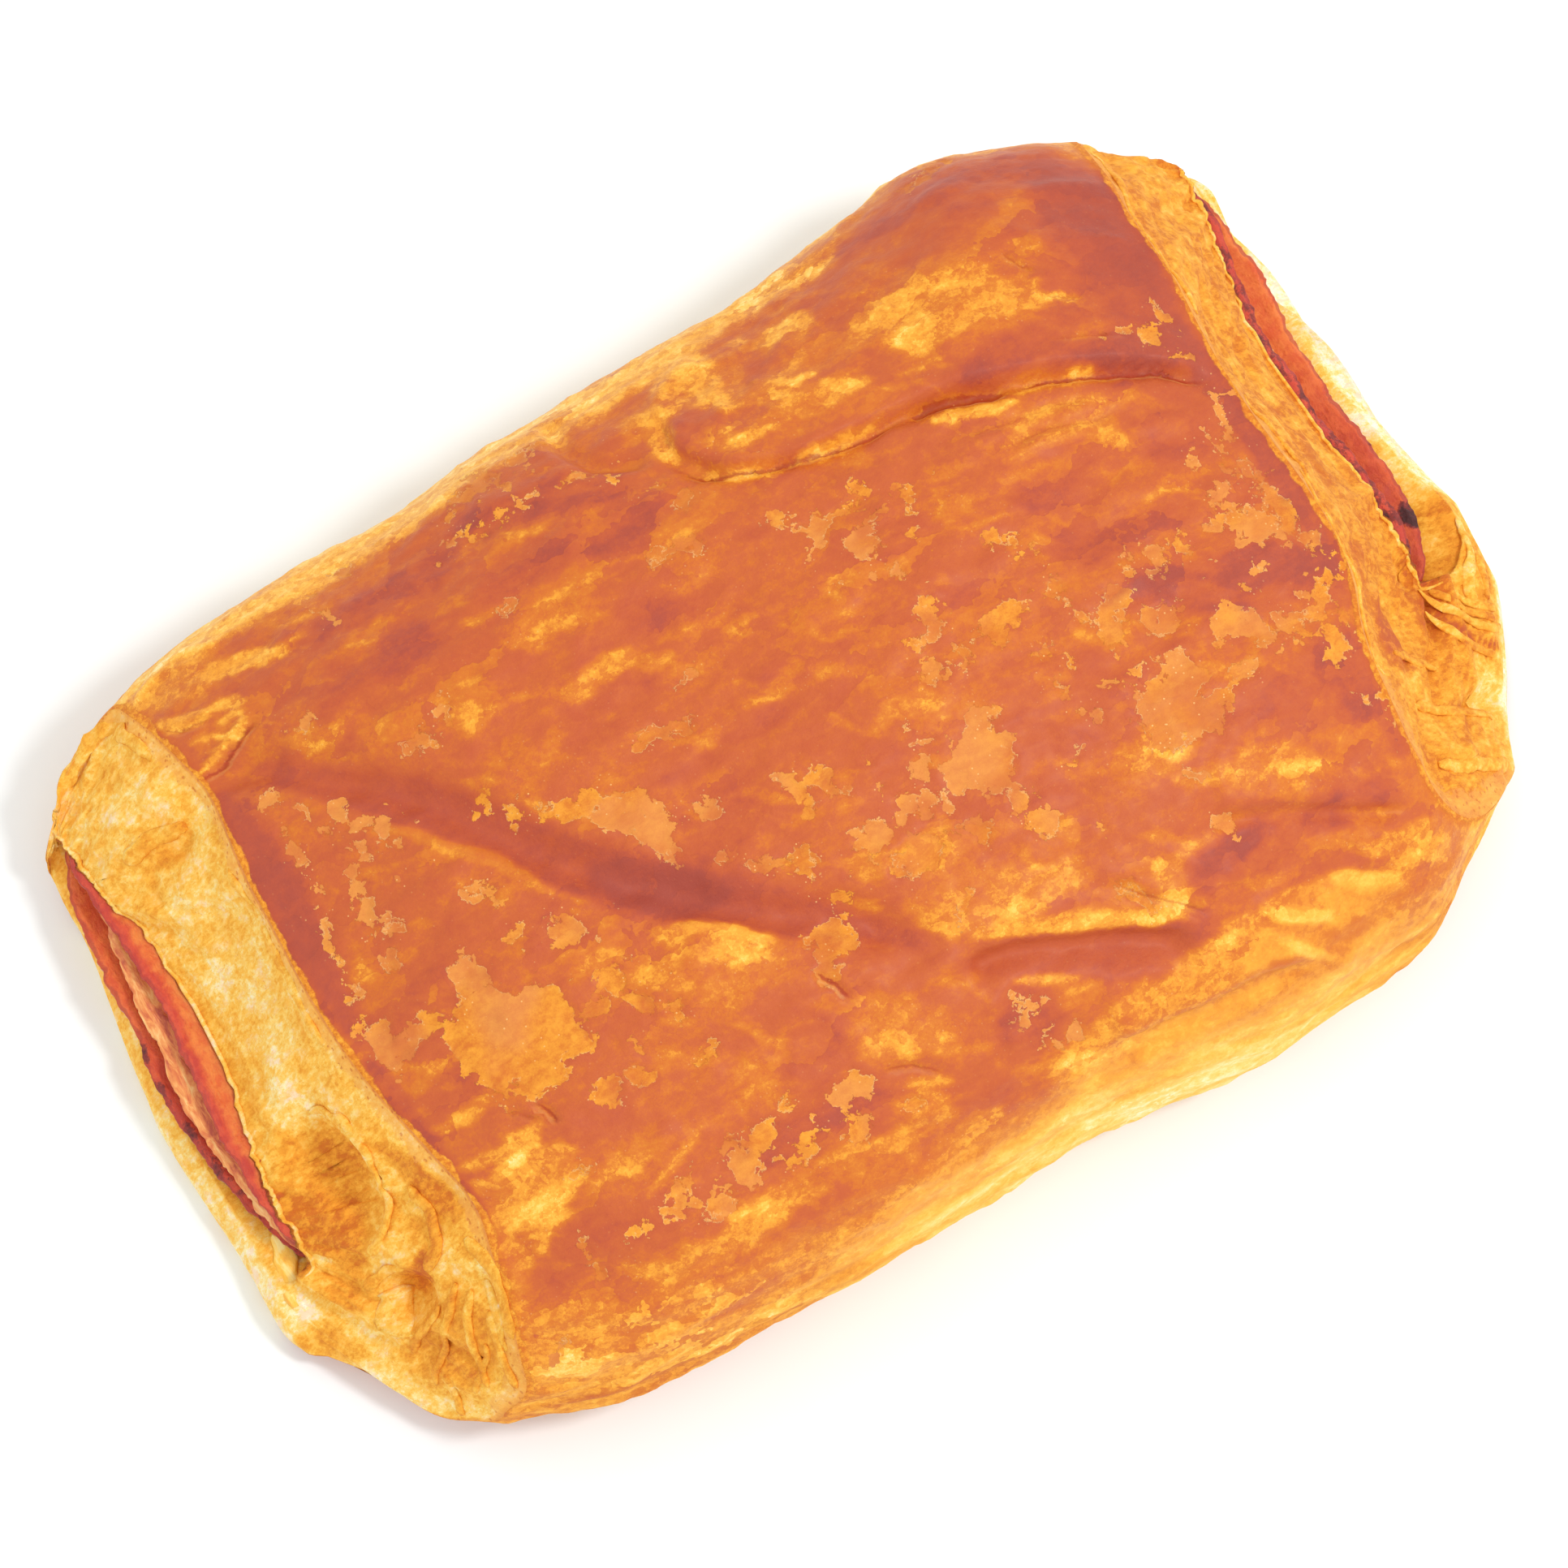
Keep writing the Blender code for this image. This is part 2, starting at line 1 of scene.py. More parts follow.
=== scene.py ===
import math
import bpy
import numpy as np
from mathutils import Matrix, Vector


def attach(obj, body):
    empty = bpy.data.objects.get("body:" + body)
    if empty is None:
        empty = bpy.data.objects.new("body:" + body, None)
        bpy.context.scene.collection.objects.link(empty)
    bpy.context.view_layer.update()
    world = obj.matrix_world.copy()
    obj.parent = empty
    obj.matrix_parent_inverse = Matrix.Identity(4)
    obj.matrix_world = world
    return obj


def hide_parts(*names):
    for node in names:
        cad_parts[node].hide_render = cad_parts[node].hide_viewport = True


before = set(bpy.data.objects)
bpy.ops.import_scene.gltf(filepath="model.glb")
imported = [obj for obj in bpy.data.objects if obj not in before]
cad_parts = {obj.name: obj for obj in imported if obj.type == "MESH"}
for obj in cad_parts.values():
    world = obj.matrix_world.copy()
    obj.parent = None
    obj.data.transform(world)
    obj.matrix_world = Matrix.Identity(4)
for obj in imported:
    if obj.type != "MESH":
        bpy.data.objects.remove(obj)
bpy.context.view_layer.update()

mm = 0.001
placing = np.array([-0.8, 0.5, 0.0])      # moves the baked outline's middle over the origin, in mm

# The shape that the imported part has, in mm. X runs along the pastry, Y across it.
form = {
    "baseTuck": 1.8, "widestHeight": 12.0, "domePower": 0.8, "undersidePower": 0.62, "lipRound": 1.0,
    "wallPuff": 1.6, "slitSetback": 1.3,
    "nearSide": [
        (-68, 22), (-65, 25), (-62, 27), (-60, 30), (-58, 34), (-54, 37), (-48, 39.6), (-36, 42.4), (-26, 43),
        (0, 42.4), (12, 42.6), (24, 44.2), (36, 42.7), (42, 42), (48, 38), (54, 34), (59, 31), (63, 26.5),
        (67, 20),
    ],
    "farSide": [
        (-66, 25), (-62, 29), (-58, 32.2), (-54, 34.6), (-48, 37), (-36, 37.9), (-24, 37.7), (-12, 38.5),
        (0, 39.5), (18, 40.3), (26, 41.6), (36, 42.6), (44, 40.4), (50, 38.2), (56, 35.4), (61, 33), (66, 27),
    ],
    "crown": [
        (-66, 25), (-49, 27.3), (-34, 31.6), (-14, 34.2), (6, 35.2), (26, 34.4), (40, 32.6), (50, 30),
        (66, 26),
    ],
    # -1 is the left cut end and 1 the right one, as (Y, X) along the roof's edge, the lip's and the slit's
    "roofEdge": {
        -1: [
            (-40, -50.2), (-34, -48.2), (-28, -46.8), (-24, -46.1), (-17, -47.3), (-10, -48.7), (0, -49.4),
            (10, -49.2), (22, -48.4), (28, -49.8), (34, -51.2), (40, -52),
        ],
        1: [
            (-40, 44.5), (-33, 45.7), (-24, 45.9), (-18, 46.8), (-14, 48.5), (-8, 49.2), (0, 48.9),
            (10, 48.6), (19, 49.1), (26, 49.3), (32, 50.2), (40, 51),
        ],
    },
    "lipEdge": {
        -1: [
            (-38, -58.5), (-34, -59.5), (-29, -61.4), (-24, -65), (-20, -65), (-10, -65.2), (-3, -65.6),
            (3, -65.9), (8, -65.2), (14, -63.9), (24, -63.2), (29, -62.9), (33, -61.2), (38, -56.6),
        ],
        1: [
            (-34, 56.5), (-29, 58.8), (-25.5, 61), (-22, 65), (-18, 65.4), (-11, 66.2), (-7, 66.9),
            (-3, 65.8), (2, 65), (5, 64.5), (8.5, 63.9), (11, 64), (13.5, 64.5), (15.5, 64.9), (17.5, 64.2),
            (20, 62.9), (23, 62.3), (28, 62.5), (33, 62.2), (38, 57.5),
        ],
    },
    "slitEdge": {
        -1: [
            (-18, -60.6), (-11, -60.9), (-5, -60), (0, -58.9), (5, -58.4), (9, -58.4), (12, -58.9), (16, -59),
            (18.5, -59.9), (23, -61), (30, -61.8),
        ],
        1: [
            (-14, 58.2), (-10, 58.8), (-7, 58.9), (-1, 58.4), (3.4, 57.8), (9.5, 57.5), (16.4, 57.6),
            (22.7, 58.7), (27.5, 59.7), (33, 60.4),
        ],
    },
    # how high on the near and far side the cut's edge starts and ends turning from the roof's to the lip's
    "cornerTurn": {(-1, -1): (0.35, -0.62), (-1, 1): (0.43, -0.18), (1, -1): (0.66, -0.25),
                   (1, 1): (0.35, -0.45)},
    "cutWaver": (0.25, 0.32, 3.3, 5), "slitRagged": (0.3, 1.5, 1, 88, 3, 0.7), "raggedRow": 7.3,
}


def smoothCurve(points, x):
    px, py = np.array(points, float).T
    slope = np.gradient(py, px)
    i = np.clip(np.searchsorted(px, x) - 1, 0, len(px) - 2)
    step = px[i + 1] - px[i]
    t = np.clip((x - px[i]) / step, 0, 1)
    return ((2 * t**3 - 3 * t**2 + 1) * py[i] + (t**3 - 2 * t**2 + t) * step * slope[i]
            + (3 * t**2 - 2 * t**3) * py[i + 1] + (t**3 - t**2) * step * slope[i + 1])


def ramp(low, high, x):
    t = np.clip((x - low) / (high - low), 0, 1)
    return t * t * (3 - 2 * t)


def fadeEnds(fade, along):      # 0 before the first value, 1 between the middle two, 0 again past the last
    start, full, still, stop = fade
    return ramp(start, full, along) * ramp(stop, still, along)


def noise(x, y, seed):      # gradient noise of about -1 to 1, one swell to a unit
    side = 64
    angles = np.random.default_rng(seed).uniform(0, 2 * math.pi, (side, side))
    cellX, cellY = np.floor(x).astype(int), np.floor(y).astype(int)
    inX, inY = x - cellX, y - cellY

    def corner(right, up):
        angle = angles[(cellX + right) % side, (cellY + up) % side]
        return np.cos(angle) * (inX - right) + np.sin(angle) * (inY - up)

    blendX, blendY = ramp(0, 1, inX), ramp(0, 1, inY)
    low = corner(0, 0) * (1 - blendX) + corner(1, 0) * blendX
    high = corner(0, 1) * (1 - blendX) + corner(1, 1) * blendX
    return 1.5 * (low * (1 - blendY) + high * blendY)


def cloud(x, y, seed, octaves=4, fall=0.55):
    total, size = 0, 1.0
    for k in range(octaves):
        total = total + size * noise(x * 2**k, y * 2**k, seed + 7 * k)
        size *= fall
    return total


# A layer of unevenness is its height, its length along X and Y and its seed, then octaves and their fall.
def uneven(layer, x, y, end=0):
    height, lengthX, lengthY, seed, *octaves = layer
    return height * cloud(x / lengthX, y / lengthY, seed + end, *(octaves or [1]))


def addLayers(value, layers, x, y, end=0):
    for layer in layers:
        value = value + uneven(layer, x, y, end)
    return value


def signedPower(value, power):
    return np.sign(value) * np.abs(value) ** power


def bell(distance, halfWidth):
    return np.exp(-((distance / halfWidth) ** 2))


def turned(x, y, cx, cy, turn):
    c, s = math.cos(math.radians(turn)), math.sin(math.radians(turn))
    return (x - cx) * c + (y - cy) * s, (y - cy) * c - (x - cx) * s


def ovalSpan(x, y, cx, cy, length, width, turn=0):      # 0 in the oval's middle and 1 on its edge
    along, across = turned(x, y, cx, cy, turn)
    return np.hypot(along / (length / 2), across / (width / 2))


def mixInto(field, target, amount):
    return field + (target - field) * amount


def nearestOnPath(x, y, path):      # signed distance (+ on the path's left) and share of the way along
    best = np.full(np.shape(x), 1e9)
    side, along, done = np.zeros(np.shape(x)), np.zeros(np.shape(x)), 0.0
    for (ax, ay), (bx, by) in zip(path, path[1:]):
        length = math.hypot(bx - ax, by - ay)
        t = np.clip(((x - ax) * (bx - ax) + (y - ay) * (by - ay)) / length**2, 0, 1)
        distance = np.hypot(x - ax - t * (bx - ax), y - ay - t * (by - ay))
        nearer = distance < best
        best = np.where(nearer, distance, best)
        side = np.where(nearer, np.sign((bx - ax) * (y - ay) - (by - ay) * (x - ax)), side)
        along = np.where(nearer, done + t * length, along)
        done += length
    return best * side, along / done


def distanceToLine(points, line):   # distance in space to a bent line, and share of the way along it
    best = np.full(points.shape[:-1], 1e9)
    along, done = np.zeros(points.shape[:-1]), 0.0
    for a, b in zip(line, line[1:]):
        a, b = np.array(a, float), np.array(b, float)
        length = np.linalg.norm(b - a)
        t = np.clip(((points - a) @ (b - a)) / length**2, 0, 1)
        distance = np.linalg.norm(points - a - t[..., None] * (b - a), axis=-1)
        along = np.where(distance < best, done + t * length, along)
        best = np.minimum(best, distance)
        done += length
    return best, along / done


def gridNormals(points):
    along = np.gradient(points, axis=0)
    across = np.roll(points, -1, axis=1) - np.roll(points, 1, axis=1)
    normal = np.cross(along, across)
    return normal / np.maximum(np.linalg.norm(normal, axis=2, keepdims=True), 1e-9)


def lengthsAlong(points):       # the way from the first point to each of them
    return np.concatenate([[0], np.cumsum(np.linalg.norm(np.diff(points, axis=0), axis=1))])


def section(x, angle):      # the outside at x; the angle starts under the middle and runs by the near side
    side, up = np.sin(angle), -np.cos(angle)
    halfWidth = np.where(side > 0, smoothCurve(form["nearSide"], x), smoothCurve(form["farSide"], x))
    y = -halfWidth * signedPower(side, np.where(up > 0, form["domePower"], form["undersidePower"]))
    crown, widest = smoothCurve(form["crown"], x), form["widestHeight"]
    top = widest + (crown - widest) * np.abs(up) ** form["domePower"]
    under = widest - (widest + form["baseTuck"]) * np.abs(up) ** form["undersidePower"]
    return y, np.maximum(np.where(up > 0, top, under), 0.0)


def cutEdge(end, angle):    # X of the cut at each angle, found in a few rounds as X and Y depend on each other
    up = -np.cos(angle)
    front, back = (np.clip((start - up) / (start - stop), 0, 1)
                   for start, stop in (form["cornerTurn"][end, -1], form["cornerTurn"][end, 1]))
    down = np.where(np.sin(angle) > 0, ramp(0, 1, front), ramp(0, 1, back))
    x = np.full_like(angle, 55.0 * end)
    for _ in range(12):
        y, _ = section(x, angle)
        roof, lip = smoothCurve(form["roofEdge"][end], y), smoothCurve(form["lipEdge"][end], y)
        x = 0.5 * (x + roof + (lip - roof) * down)
    return x + uneven(form["cutWaver"], angle, np.full_like(angle, 11.0 * end))


# The filling's own values, shared by the tunnel round it and by each slice.
filling = {
    "height": 8.6, "wave": (0.8, 27, 17, 11), "sag": 0.0007, "sliceGap": 0.35, "tunnelGap": 0.6, "ham": 1.5,
    "cheese": 1.6, "shift": 7.6, "skew": 0.036, "reach": 60, "halfWidth": 22.3, "thinning": 0.5,
    "tunnelHalfWidth": 23.1, "tunnelPower": 0.12, "mouthPower": 0.3, "mouthSidePower": 0.3, "mouthDrop": 0.4,
    "dropRise": (0, 0.4),
}


def fillingMiddle(x, y):
    return filling["height"] + uneven(filling["wave"], x, y) - filling["sag"] * y * y


def fillingCentre(x):
    return filling["shift"] + filling["skew"] * x


def thinning(x, y):
    across = np.clip((y - fillingCentre(x)) / filling["halfWidth"], -1, 1)
    return 1 - filling["thinning"] * across**4


def tunnelHeight(x, y, up, power):
    layers = (filling["ham"] + 0.5 * filling["cheese"]) * thinning(x, y)
    half = layers + filling["sliceGap"] + filling["tunnelGap"]
    return fillingMiddle(x, y) + half * signedPower(up, power)


def slit(end, angle):
    up = -np.cos(angle)
    across = -signedPower(np.sin(angle), filling["mouthSidePower"])
    y = fillingCentre(filling["reach"] * end) + filling["tunnelHalfWidth"] * across
    under = smoothCurve(form["lipEdge"][end], y) - form["slitSetback"] * end
    x = under + (smoothCurve(form["slitEdge"][end], y) - under) * ramp(-0.5, 0.5, up)
    ragged = uneven(form["slitRagged"], y, np.full_like(y, form["raggedRow"] * end))
    x = x + ragged * ramp(0, 0.3, up)
    drop = filling["mouthDrop"] * ramp(*filling["dropRise"], up)
    return x, y, tunnelHeight(x, y, up, filling["mouthPower"]) - drop


def srgb(r, g, b):
    return tuple(c / 12.92 if c <= 0.04045 else ((c + 0.055) / 1.055) ** 2.4
                 for c in (r / 255, g / 255, b / 255)) + (1.0,)


class Nodes:                # a short way to place and join shader nodes
    def __init__(self, tree):
        self.tree = tree

    def add(self, kind, settings=None, **inputs):
        node = self.tree.nodes.new(kind)
        for key, value in (settings or {}).items():
            setattr(node, key, value)
        for key, value in inputs.items():
            self.put(node, key.replace("_", " "), value)
        return node

    def put(self, node, key, value):
        socket = node.inputs[int(key[1:])] if key[0] == "i" and key[1:].isdigit() else node.inputs[key]
        if isinstance(value, bpy.types.NodeSocket):
            self.tree.links.new(value, socket)
        else:
            socket.default_value = value

    def math(self, operation, a, b=0.0, clamp=False):
        node = self.add("ShaderNodeMath", {"operation": operation, "use_clamp": clamp}, i0=a, i1=b)
        return node.outputs[0]

    def plus(self, a, b):
        return self.math("ADD", a, b)

    def minus(self, a, b):
        return self.math("SUBTRACT", a, b)

    def times(self, a, b):
        return self.math("MULTIPLY", a, b)

    def sway(self, start, *waves):      # a value moved by noises about their middle
        for wave, amount in waves:
            start = self.plus(start, self.times(self.minus(wave, 0.5), amount))
        return start

    def noise(self, place, scale, detail=4.0, roughness=0.55, distortion=0.0):
        node = self.add("ShaderNodeTexNoise", Vector=place, Scale=scale, Detail=detail, Roughness=roughness,
                        Distortion=distortion)
        return node.outputs["Fac"]

    def cells(self, place, scale, output="Distance"):
        node = self.add("ShaderNodeTexVoronoi", {"feature": "F1"}, Vector=place, Scale=scale, Randomness=1.0)
        return node.outputs[output]

    def cellValues(self, place, scale):     # one value from 0 to 1 for each cell
        colour = self.cells(place, scale, "Color")
        return self.add("ShaderNodeSeparateColor", Color=colour).outputs[0]

    def between(self, value, low, high, outLow=0.0, outHigh=1.0):
        node = self.add("ShaderNodeMapRange", {"interpolation_type": "SMOOTHSTEP"}, Value=value,
                        From_Min=low, From_Max=high, To_Min=outLow, To_Max=outHigh)
        return node.outputs["Result"]

    def patches(self, place, wave, limits):     # a mask of noise
        return self.between(self.noise(place, *wave), *limits)

    def mix(self, factor, a, b):
        node = self.add("ShaderNodeMix", {"data_type": "RGBA"}, i0=factor, i6=a, i7=b)
        return node.outputs[2]

    def tint(self, colour, mask, tone, strength=None):
        factor = mask if strength is None else self.times(mask, strength)
        return self.mix(factor, colour, srgb(*tone))

    def ramp(self, value, stops):
        node = self.add("ShaderNodeValToRGB", Fac=value)
        points = node.color_ramp.elements
        for point, (position, tone) in zip((points[0], points[1]), (stops[0], stops[-1])):
            point.position, point.color = position, srgb(*tone)
        for position, tone in stops[1:-1]:
            points.new(position).color = srgb(*tone)
        return node.outputs["Color"]

    def stretched(self, place, scale):
        return self.add("ShaderNodeMapping", Vector=place, Scale=scale).outputs["Vector"]

    def placeInMm(self):
        return self.stretched(self.add("ShaderNodeTexCoord").outputs["Object"], (1 / mm, 1 / mm, 1 / mm))

    def bent(self, place, scale, amount):      # the place pushed about by noise, so that edges turn ragged
        push = self.add("ShaderNodeTexNoise", Vector=place, Scale=scale, Detail=3.0, Roughness=0.7)
        centred = self.add("ShaderNodeVectorMath", {"operation": "SUBTRACT"}, i0=push.outputs["Color"],
                           i1=(0.5, 0.5, 0.5))
        return self.add("ShaderNodeVectorMath", {"operation": "MULTIPLY_ADD"}, i0=centred.outputs["Vector"],
                        i1=(amount, amount, amount), i2=place).outputs["Vector"]

    def attribute(self, name, output="Fac"):
        return self.add("ShaderNodeAttribute", {"attribute_name": name}).outputs[output]

    def group(self, tree, **inputs):
        return self.add("ShaderNodeGroup", {"node_tree": tree}, **inputs).outputs

    def bump(self, shader, height, distance, strength):
        node = self.add("ShaderNodeBump", Height=height, Distance=distance, Strength=strength)
        self.put(shader, "Normal", node.outputs["Normal"])


def newGroup(name, inputs, outputs):
    tree = bpy.data.node_groups.new(name, "ShaderNodeTree")
    kinds = {"value": "NodeSocketFloat", "colour": "NodeSocketColor", "vector": "NodeSocketVector"}
    for label, kind, start in inputs:
        socket = tree.interface.new_socket(label, in_out="INPUT", socket_type=kinds[kind])
        if start is not None:
            socket.default_value = start
    for label, kind in outputs:
        tree.interface.new_socket(label, in_out="OUTPUT", socket_type=kinds[kind])
    nodes = Nodes(tree)
    return tree, nodes, nodes.add("NodeGroupInput").outputs, nodes.add("NodeGroupOutput")


# How dough changes colour in the oven: the share of browning, and the colour there.
browning = [(0.00, (255, 247, 220)), (0.09, (255, 230, 160)), (0.17, (255, 208, 106)), (0.25, (252, 188, 72)),
            (0.33, (242, 164, 52)), (0.41, (230, 146, 44)), (0.48, (214, 121, 38)), (0.57, (208, 109, 38)),
            (0.66, (199, 97, 47)), (0.79, (192, 88, 49)), (0.88, (181, 80, 54)), (1.00, (166, 73, 57))]
# Noise as scale, detail, roughness and distortion. The scale is for a Size of 1, and is divided by it.
bakedMottle = {"soft": (0.55, 5.0, 0.6, 0.4), "softAmount": 1.9, "fine": (2.6, 3.0, 0.6), "fineAmount": 0.8}
crumb = {"grain": (2.2, 5.0, 0.65), "cellScale": 1.5, "pitDepth": 0.8}


def sizedNoise(n, given, scale, *rest):
    return n.noise(given["Place"], n.math("DIVIDE", scale, given["Size"]), *rest)


def buildBakedTone():
    tree, n, given, out = newGroup("bakedTone", [("Bake", "value", 0.5), ("Place", "vector", None),
                                                 ("Mottle", "value", 0.1), ("Size", "value", 1.0)],
                                   [("Color", "colour"), ("Bake", "value")])
    wave = n.sway(0.0, (sizedNoise(n, given, *bakedMottle["soft"]), bakedMottle["softAmount"]),
                  (sizedNoise(n, given, *bakedMottle["fine"]), bakedMottle["fineAmount"]))
    bake = n.math("ADD", given["Bake"], n.times(wave, given["Mottle"]), True)
    n.put(out, "Color", n.ramp(bake, browning))
    n.put(out, "Bake", bake)
    return tree


def buildCrumbGrain():      # fine roughness of baked dough: soft grain with small pits
    tree, n, given, out = newGroup("crumbGrain", [("Place", "vector", None), ("Size", "value", 1.0),
                                                  ("Pits", "value", 0.5)],
                                   [("Height", "value"), ("Pits", "value")])
    cells = n.cells(given["Place"], n.math("DIVIDE", crumb["cellScale"], given["Size"]))
    pitted = n.between(sizedNoise(n, given, 0.5, 2.0), 0.5, 0.62)
    pits = n.times(n.times(n.between(cells, 0.34, 0.12), pitted), given["Pits"])
    grain = sizedNoise(n, given, *crumb["grain"])
    n.put(out, "Height", n.minus(grain, n.times(pits, crumb["pitDepth"])))
    n.put(out, "Pits", pits)
    return tree


def newMaterial(name, constants):
    made = bpy.data.materials.new(name)
    made.use_nodes = True
    shader = made.node_tree.nodes["Principled BSDF"]
    for key, value in constants.items():
        shader.inputs[key].default_value = value
    return made, Nodes(made.node_tree), shader


bakedTone = buildBakedTone()
crumbGrain = buildCrumbGrain()
print("stage: shared shader groups made")


# What stands proud of the plain form or sinks below it, in mm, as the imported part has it.
skinShape = {
    "creases": {
        "foldLine": dict(path=[(2.8, 31.6), (1.7, 25.3), (4.5, 21), (11.9, 18.6), (19.1, 18.1), (26.1, 17.3),
                               (34.6, 14.6), (42.6, 11.1), (48.5, 7.5)],
                         halfWidth=0.8, depth=0.5, ledge=1.1, run=8.0, side=1),
        "longValley": dict(path=[(-50, 23), (-44, 20.5), (-40, 17.5), (-32.5, 9.2), (-27.4, 1.2),
                                 (-21.7, -6.2), (-14.4, -13), (-6, -19.5), (0.6, -26.1)],
                           halfWidth=2.4, depth=1.5, ledge=0.5, run=4.0, side=-1),
        "shortValley": dict(path=[(0.5, -27.8), (5.2, -28.4), (11.8, -30.9), (20.2, -34.9)],
                            halfWidth=1.6, depth=1.2, ledge=0.5, run=3.0, side=1),
        "cornerFold": dict(path=[(26, -27), (32, -29), (38, -32), (43, -34)],
                           halfWidth=0.9, depth=0.5, ledge=0.6, run=3.5, side=1),
        "flankFold": dict(path=[(9, -38.8), (14, -39.6), (19, -40.2), (24, -40.4), (29, -41.2)],
                          halfWidth=1.0, depth=0.5, ledge=0.8, run=4.0, side=1),
        "curl": dict(path=[(-5.5, 36), (-6, 32), (-4.5, 28.5), (0, 26)],
                     halfWidth=1.0, depth=0.6, ledge=0.5, run=3.5, side=-1),
    },
    "ledgeStart": 0.2,
    "humps": [((38, 29), 12, 2.2), ((-20, 24), 14, 0.6), ((12, 2), 16, 0.8), ((-36, -24), 9, 0.6),
              ((31, -18), 10, 0.8), ((-11, 31), 7, 0.9)],
    "lumps": [(0.5, 17, 13, 31), (0.3, 8.5, 6.2, 32)], "wrinkles": (0.3, 6.5, 2.4, 33), "glazedShare": 0.55,
    "blisters": (0.5, 4.2, 3.6, 34), "blisterLevel": 0.25,
    "small": [(0.11, 3.1, 2.1, 35, 3), (0.05, 1.1, 0.9, 38, 2)],
    # slanting ripples where the sheet was pulled: X, Y and the reach along each
    "ripples": (0.1, 6, 1.1, 39), "rippleTurn": (0.82, 0.57),
    "ripplePlaces": [(-12, 27, 14, 6), (-32, 20, 8, 6)],
    "bubbles": {"count": 260, "within": (48, 38), "radius": (0.5, 1.5), "height": 0.16, "least": 0.4},
    "flakeDepth": 0.18, "topFrom": (2, 9),
    # narrow cuts in the skin: path, half width and depth
    "cuts": [
        ([(0.3, 25.5), (3, 22), (8, 19.9), (13, 18.7), (17.6, 17.9), (22.4, 17.8)], 0.3, 0.5),
        ([(21, 17.9), (24.5, 17.5), (26.2, 17), (28.5, 16), (30.4, 15.2)], 0.7, 0.9),
        ([(29.6, 15.6), (33.5, 14.8), (37.1, 13.3), (43.4, 10.9), (45, 9.3), (47.6, 7.5)], 0.34, 0.6),
        ([(24, 13.4), (28.4, 12.6), (33, 12.3), (37, 10.8)], 0.22, 0.3),
        ([(27, 10.6), (31.4, 10.6), (35, 9.4), (38.6, 9.2)], 0.22, 0.3),
        ([(35, 17.6), (38.6, 16.4), (42.8, 14.6)], 0.22, 0.3),
        ([(-40, -18), (-38.6, -19), (-37.6, -20.4)], 0.22, 0.4),
        ([(-37.2, -18.8), (-36.6, -20), (-36.2, -21.4)], 0.3, 0.5),
        ([(-11, -21.5), (-10, -23), (-9.3, -25)], 0.35, 0.5),
        ([(15.2, -27), (17.5, -29.5), (20, -31.5), (22, -33.6)], 0.25, 0.4),
        ([(-10, -31.2), (-7, -32.4), (-5, -34.1)], 0.25, 0.35),
        ([(-49.2, 21.8), (-46, 22.5), (-43, 23.7), (-41, 24.3)], 0.3, 0.5),
        ([(-49.4, 28.8), (-47.6, 27.2), (-44.4, 26.6)], 0.25, 0.3),
        ([(36.4, 27.2), (37, 25.5), (38, 24.2)], 0.25, 0.35), ([(37.5, 21.6), (40.2, 20)], 0.25, 0.35),
    ],
    # thin raised rims of torn skin: path, half width and height
    "rims": [
        ([(-37.5, 10), (-35, 7.4), (-33, 4.4), (-30, 1.4), (-28.3, -2), (-26, -5)], 0.5, 0.22),
        ([(-21.8, -11), (-18.4, -12.2), (-15, -14.6), (-12, -17.6)], 0.4, 0.35),
        ([(2, -26.4), (7, -27.9), (14, -30.6), (20, -33.5)], 0.4, 0.35), ([(4, 21.6), (9, 18.8)], 0.5, 0.2),
        ([(22.4, 16.2), (26, 15), (30.4, 13.9)], 0.7, 0.35),
        ([(24, 12.8), (28.4, 12), (33, 11.7), (37, 10.2)], 0.35, 0.22),
        ([(27, 10), (31.4, 9.9), (35, 8.8)], 0.35, 0.2),
        ([(2, 29), (3.8, 31.6), (6.5, 33.5), (9, 34)], 0.8, 0.35),
        ([(2.4, 25.6), (1.9, 27.4), (2, 29)], 0.6, 0.3), ([(7.6, 26), (8, 29), (9.2, 31)], 0.5, 0.25),
        ([(36, -33), (37.2, -35), (36.8, -36.4)], 0.4, 0.3),
        ([(26.4, -35), (27.2, -36.2), (30, -37.4), (32.4, -38.2)], 0.5, 0.35),
        ([(26.6, -38), (28.8, -39.8), (31, -41.2)], 0.4, 0.3),
        ([(-48.8, -17), (-48, -20), (-47.4, -22)], 0.5, 0.35),
        ([(-46.8, -27), (-46.2, -29), (-46, -31.6)], 0.6, 0.4),
        ([(-50.2, 32.2), (-48.2, 33.6), (-45.7, 34.9), (-43.6, 34.6), (-41.9, 33.4), (-40.4, 33.8)], 0.6,
         0.35), ([(-49.2, 29.6), (-47.8, 28), (-45.8, 27.4), (-44, 27.4)], 0.8, 0.3),
        ([(-48.6, 22.6), (-46.5, 23.3), (-44, 24.2), (-41.6, 24.9)], 0.5, 0.35),
    ],
    "cutFade": (0, 0.15, 0.85, 1), "rimFade": (0, 0.12, 0.88, 1),
    # the painted shade and highlight of a cut: how far from it still counts, its ends, and its width from the
    # cut's half width
    "cutPaint": {"far": 3.0, "fade": (0, 0.2, 0.8, 1), "near": (0.85, 0.6), "share": 0.8, "inset": 0.15,
                 "least": 0.03},
}

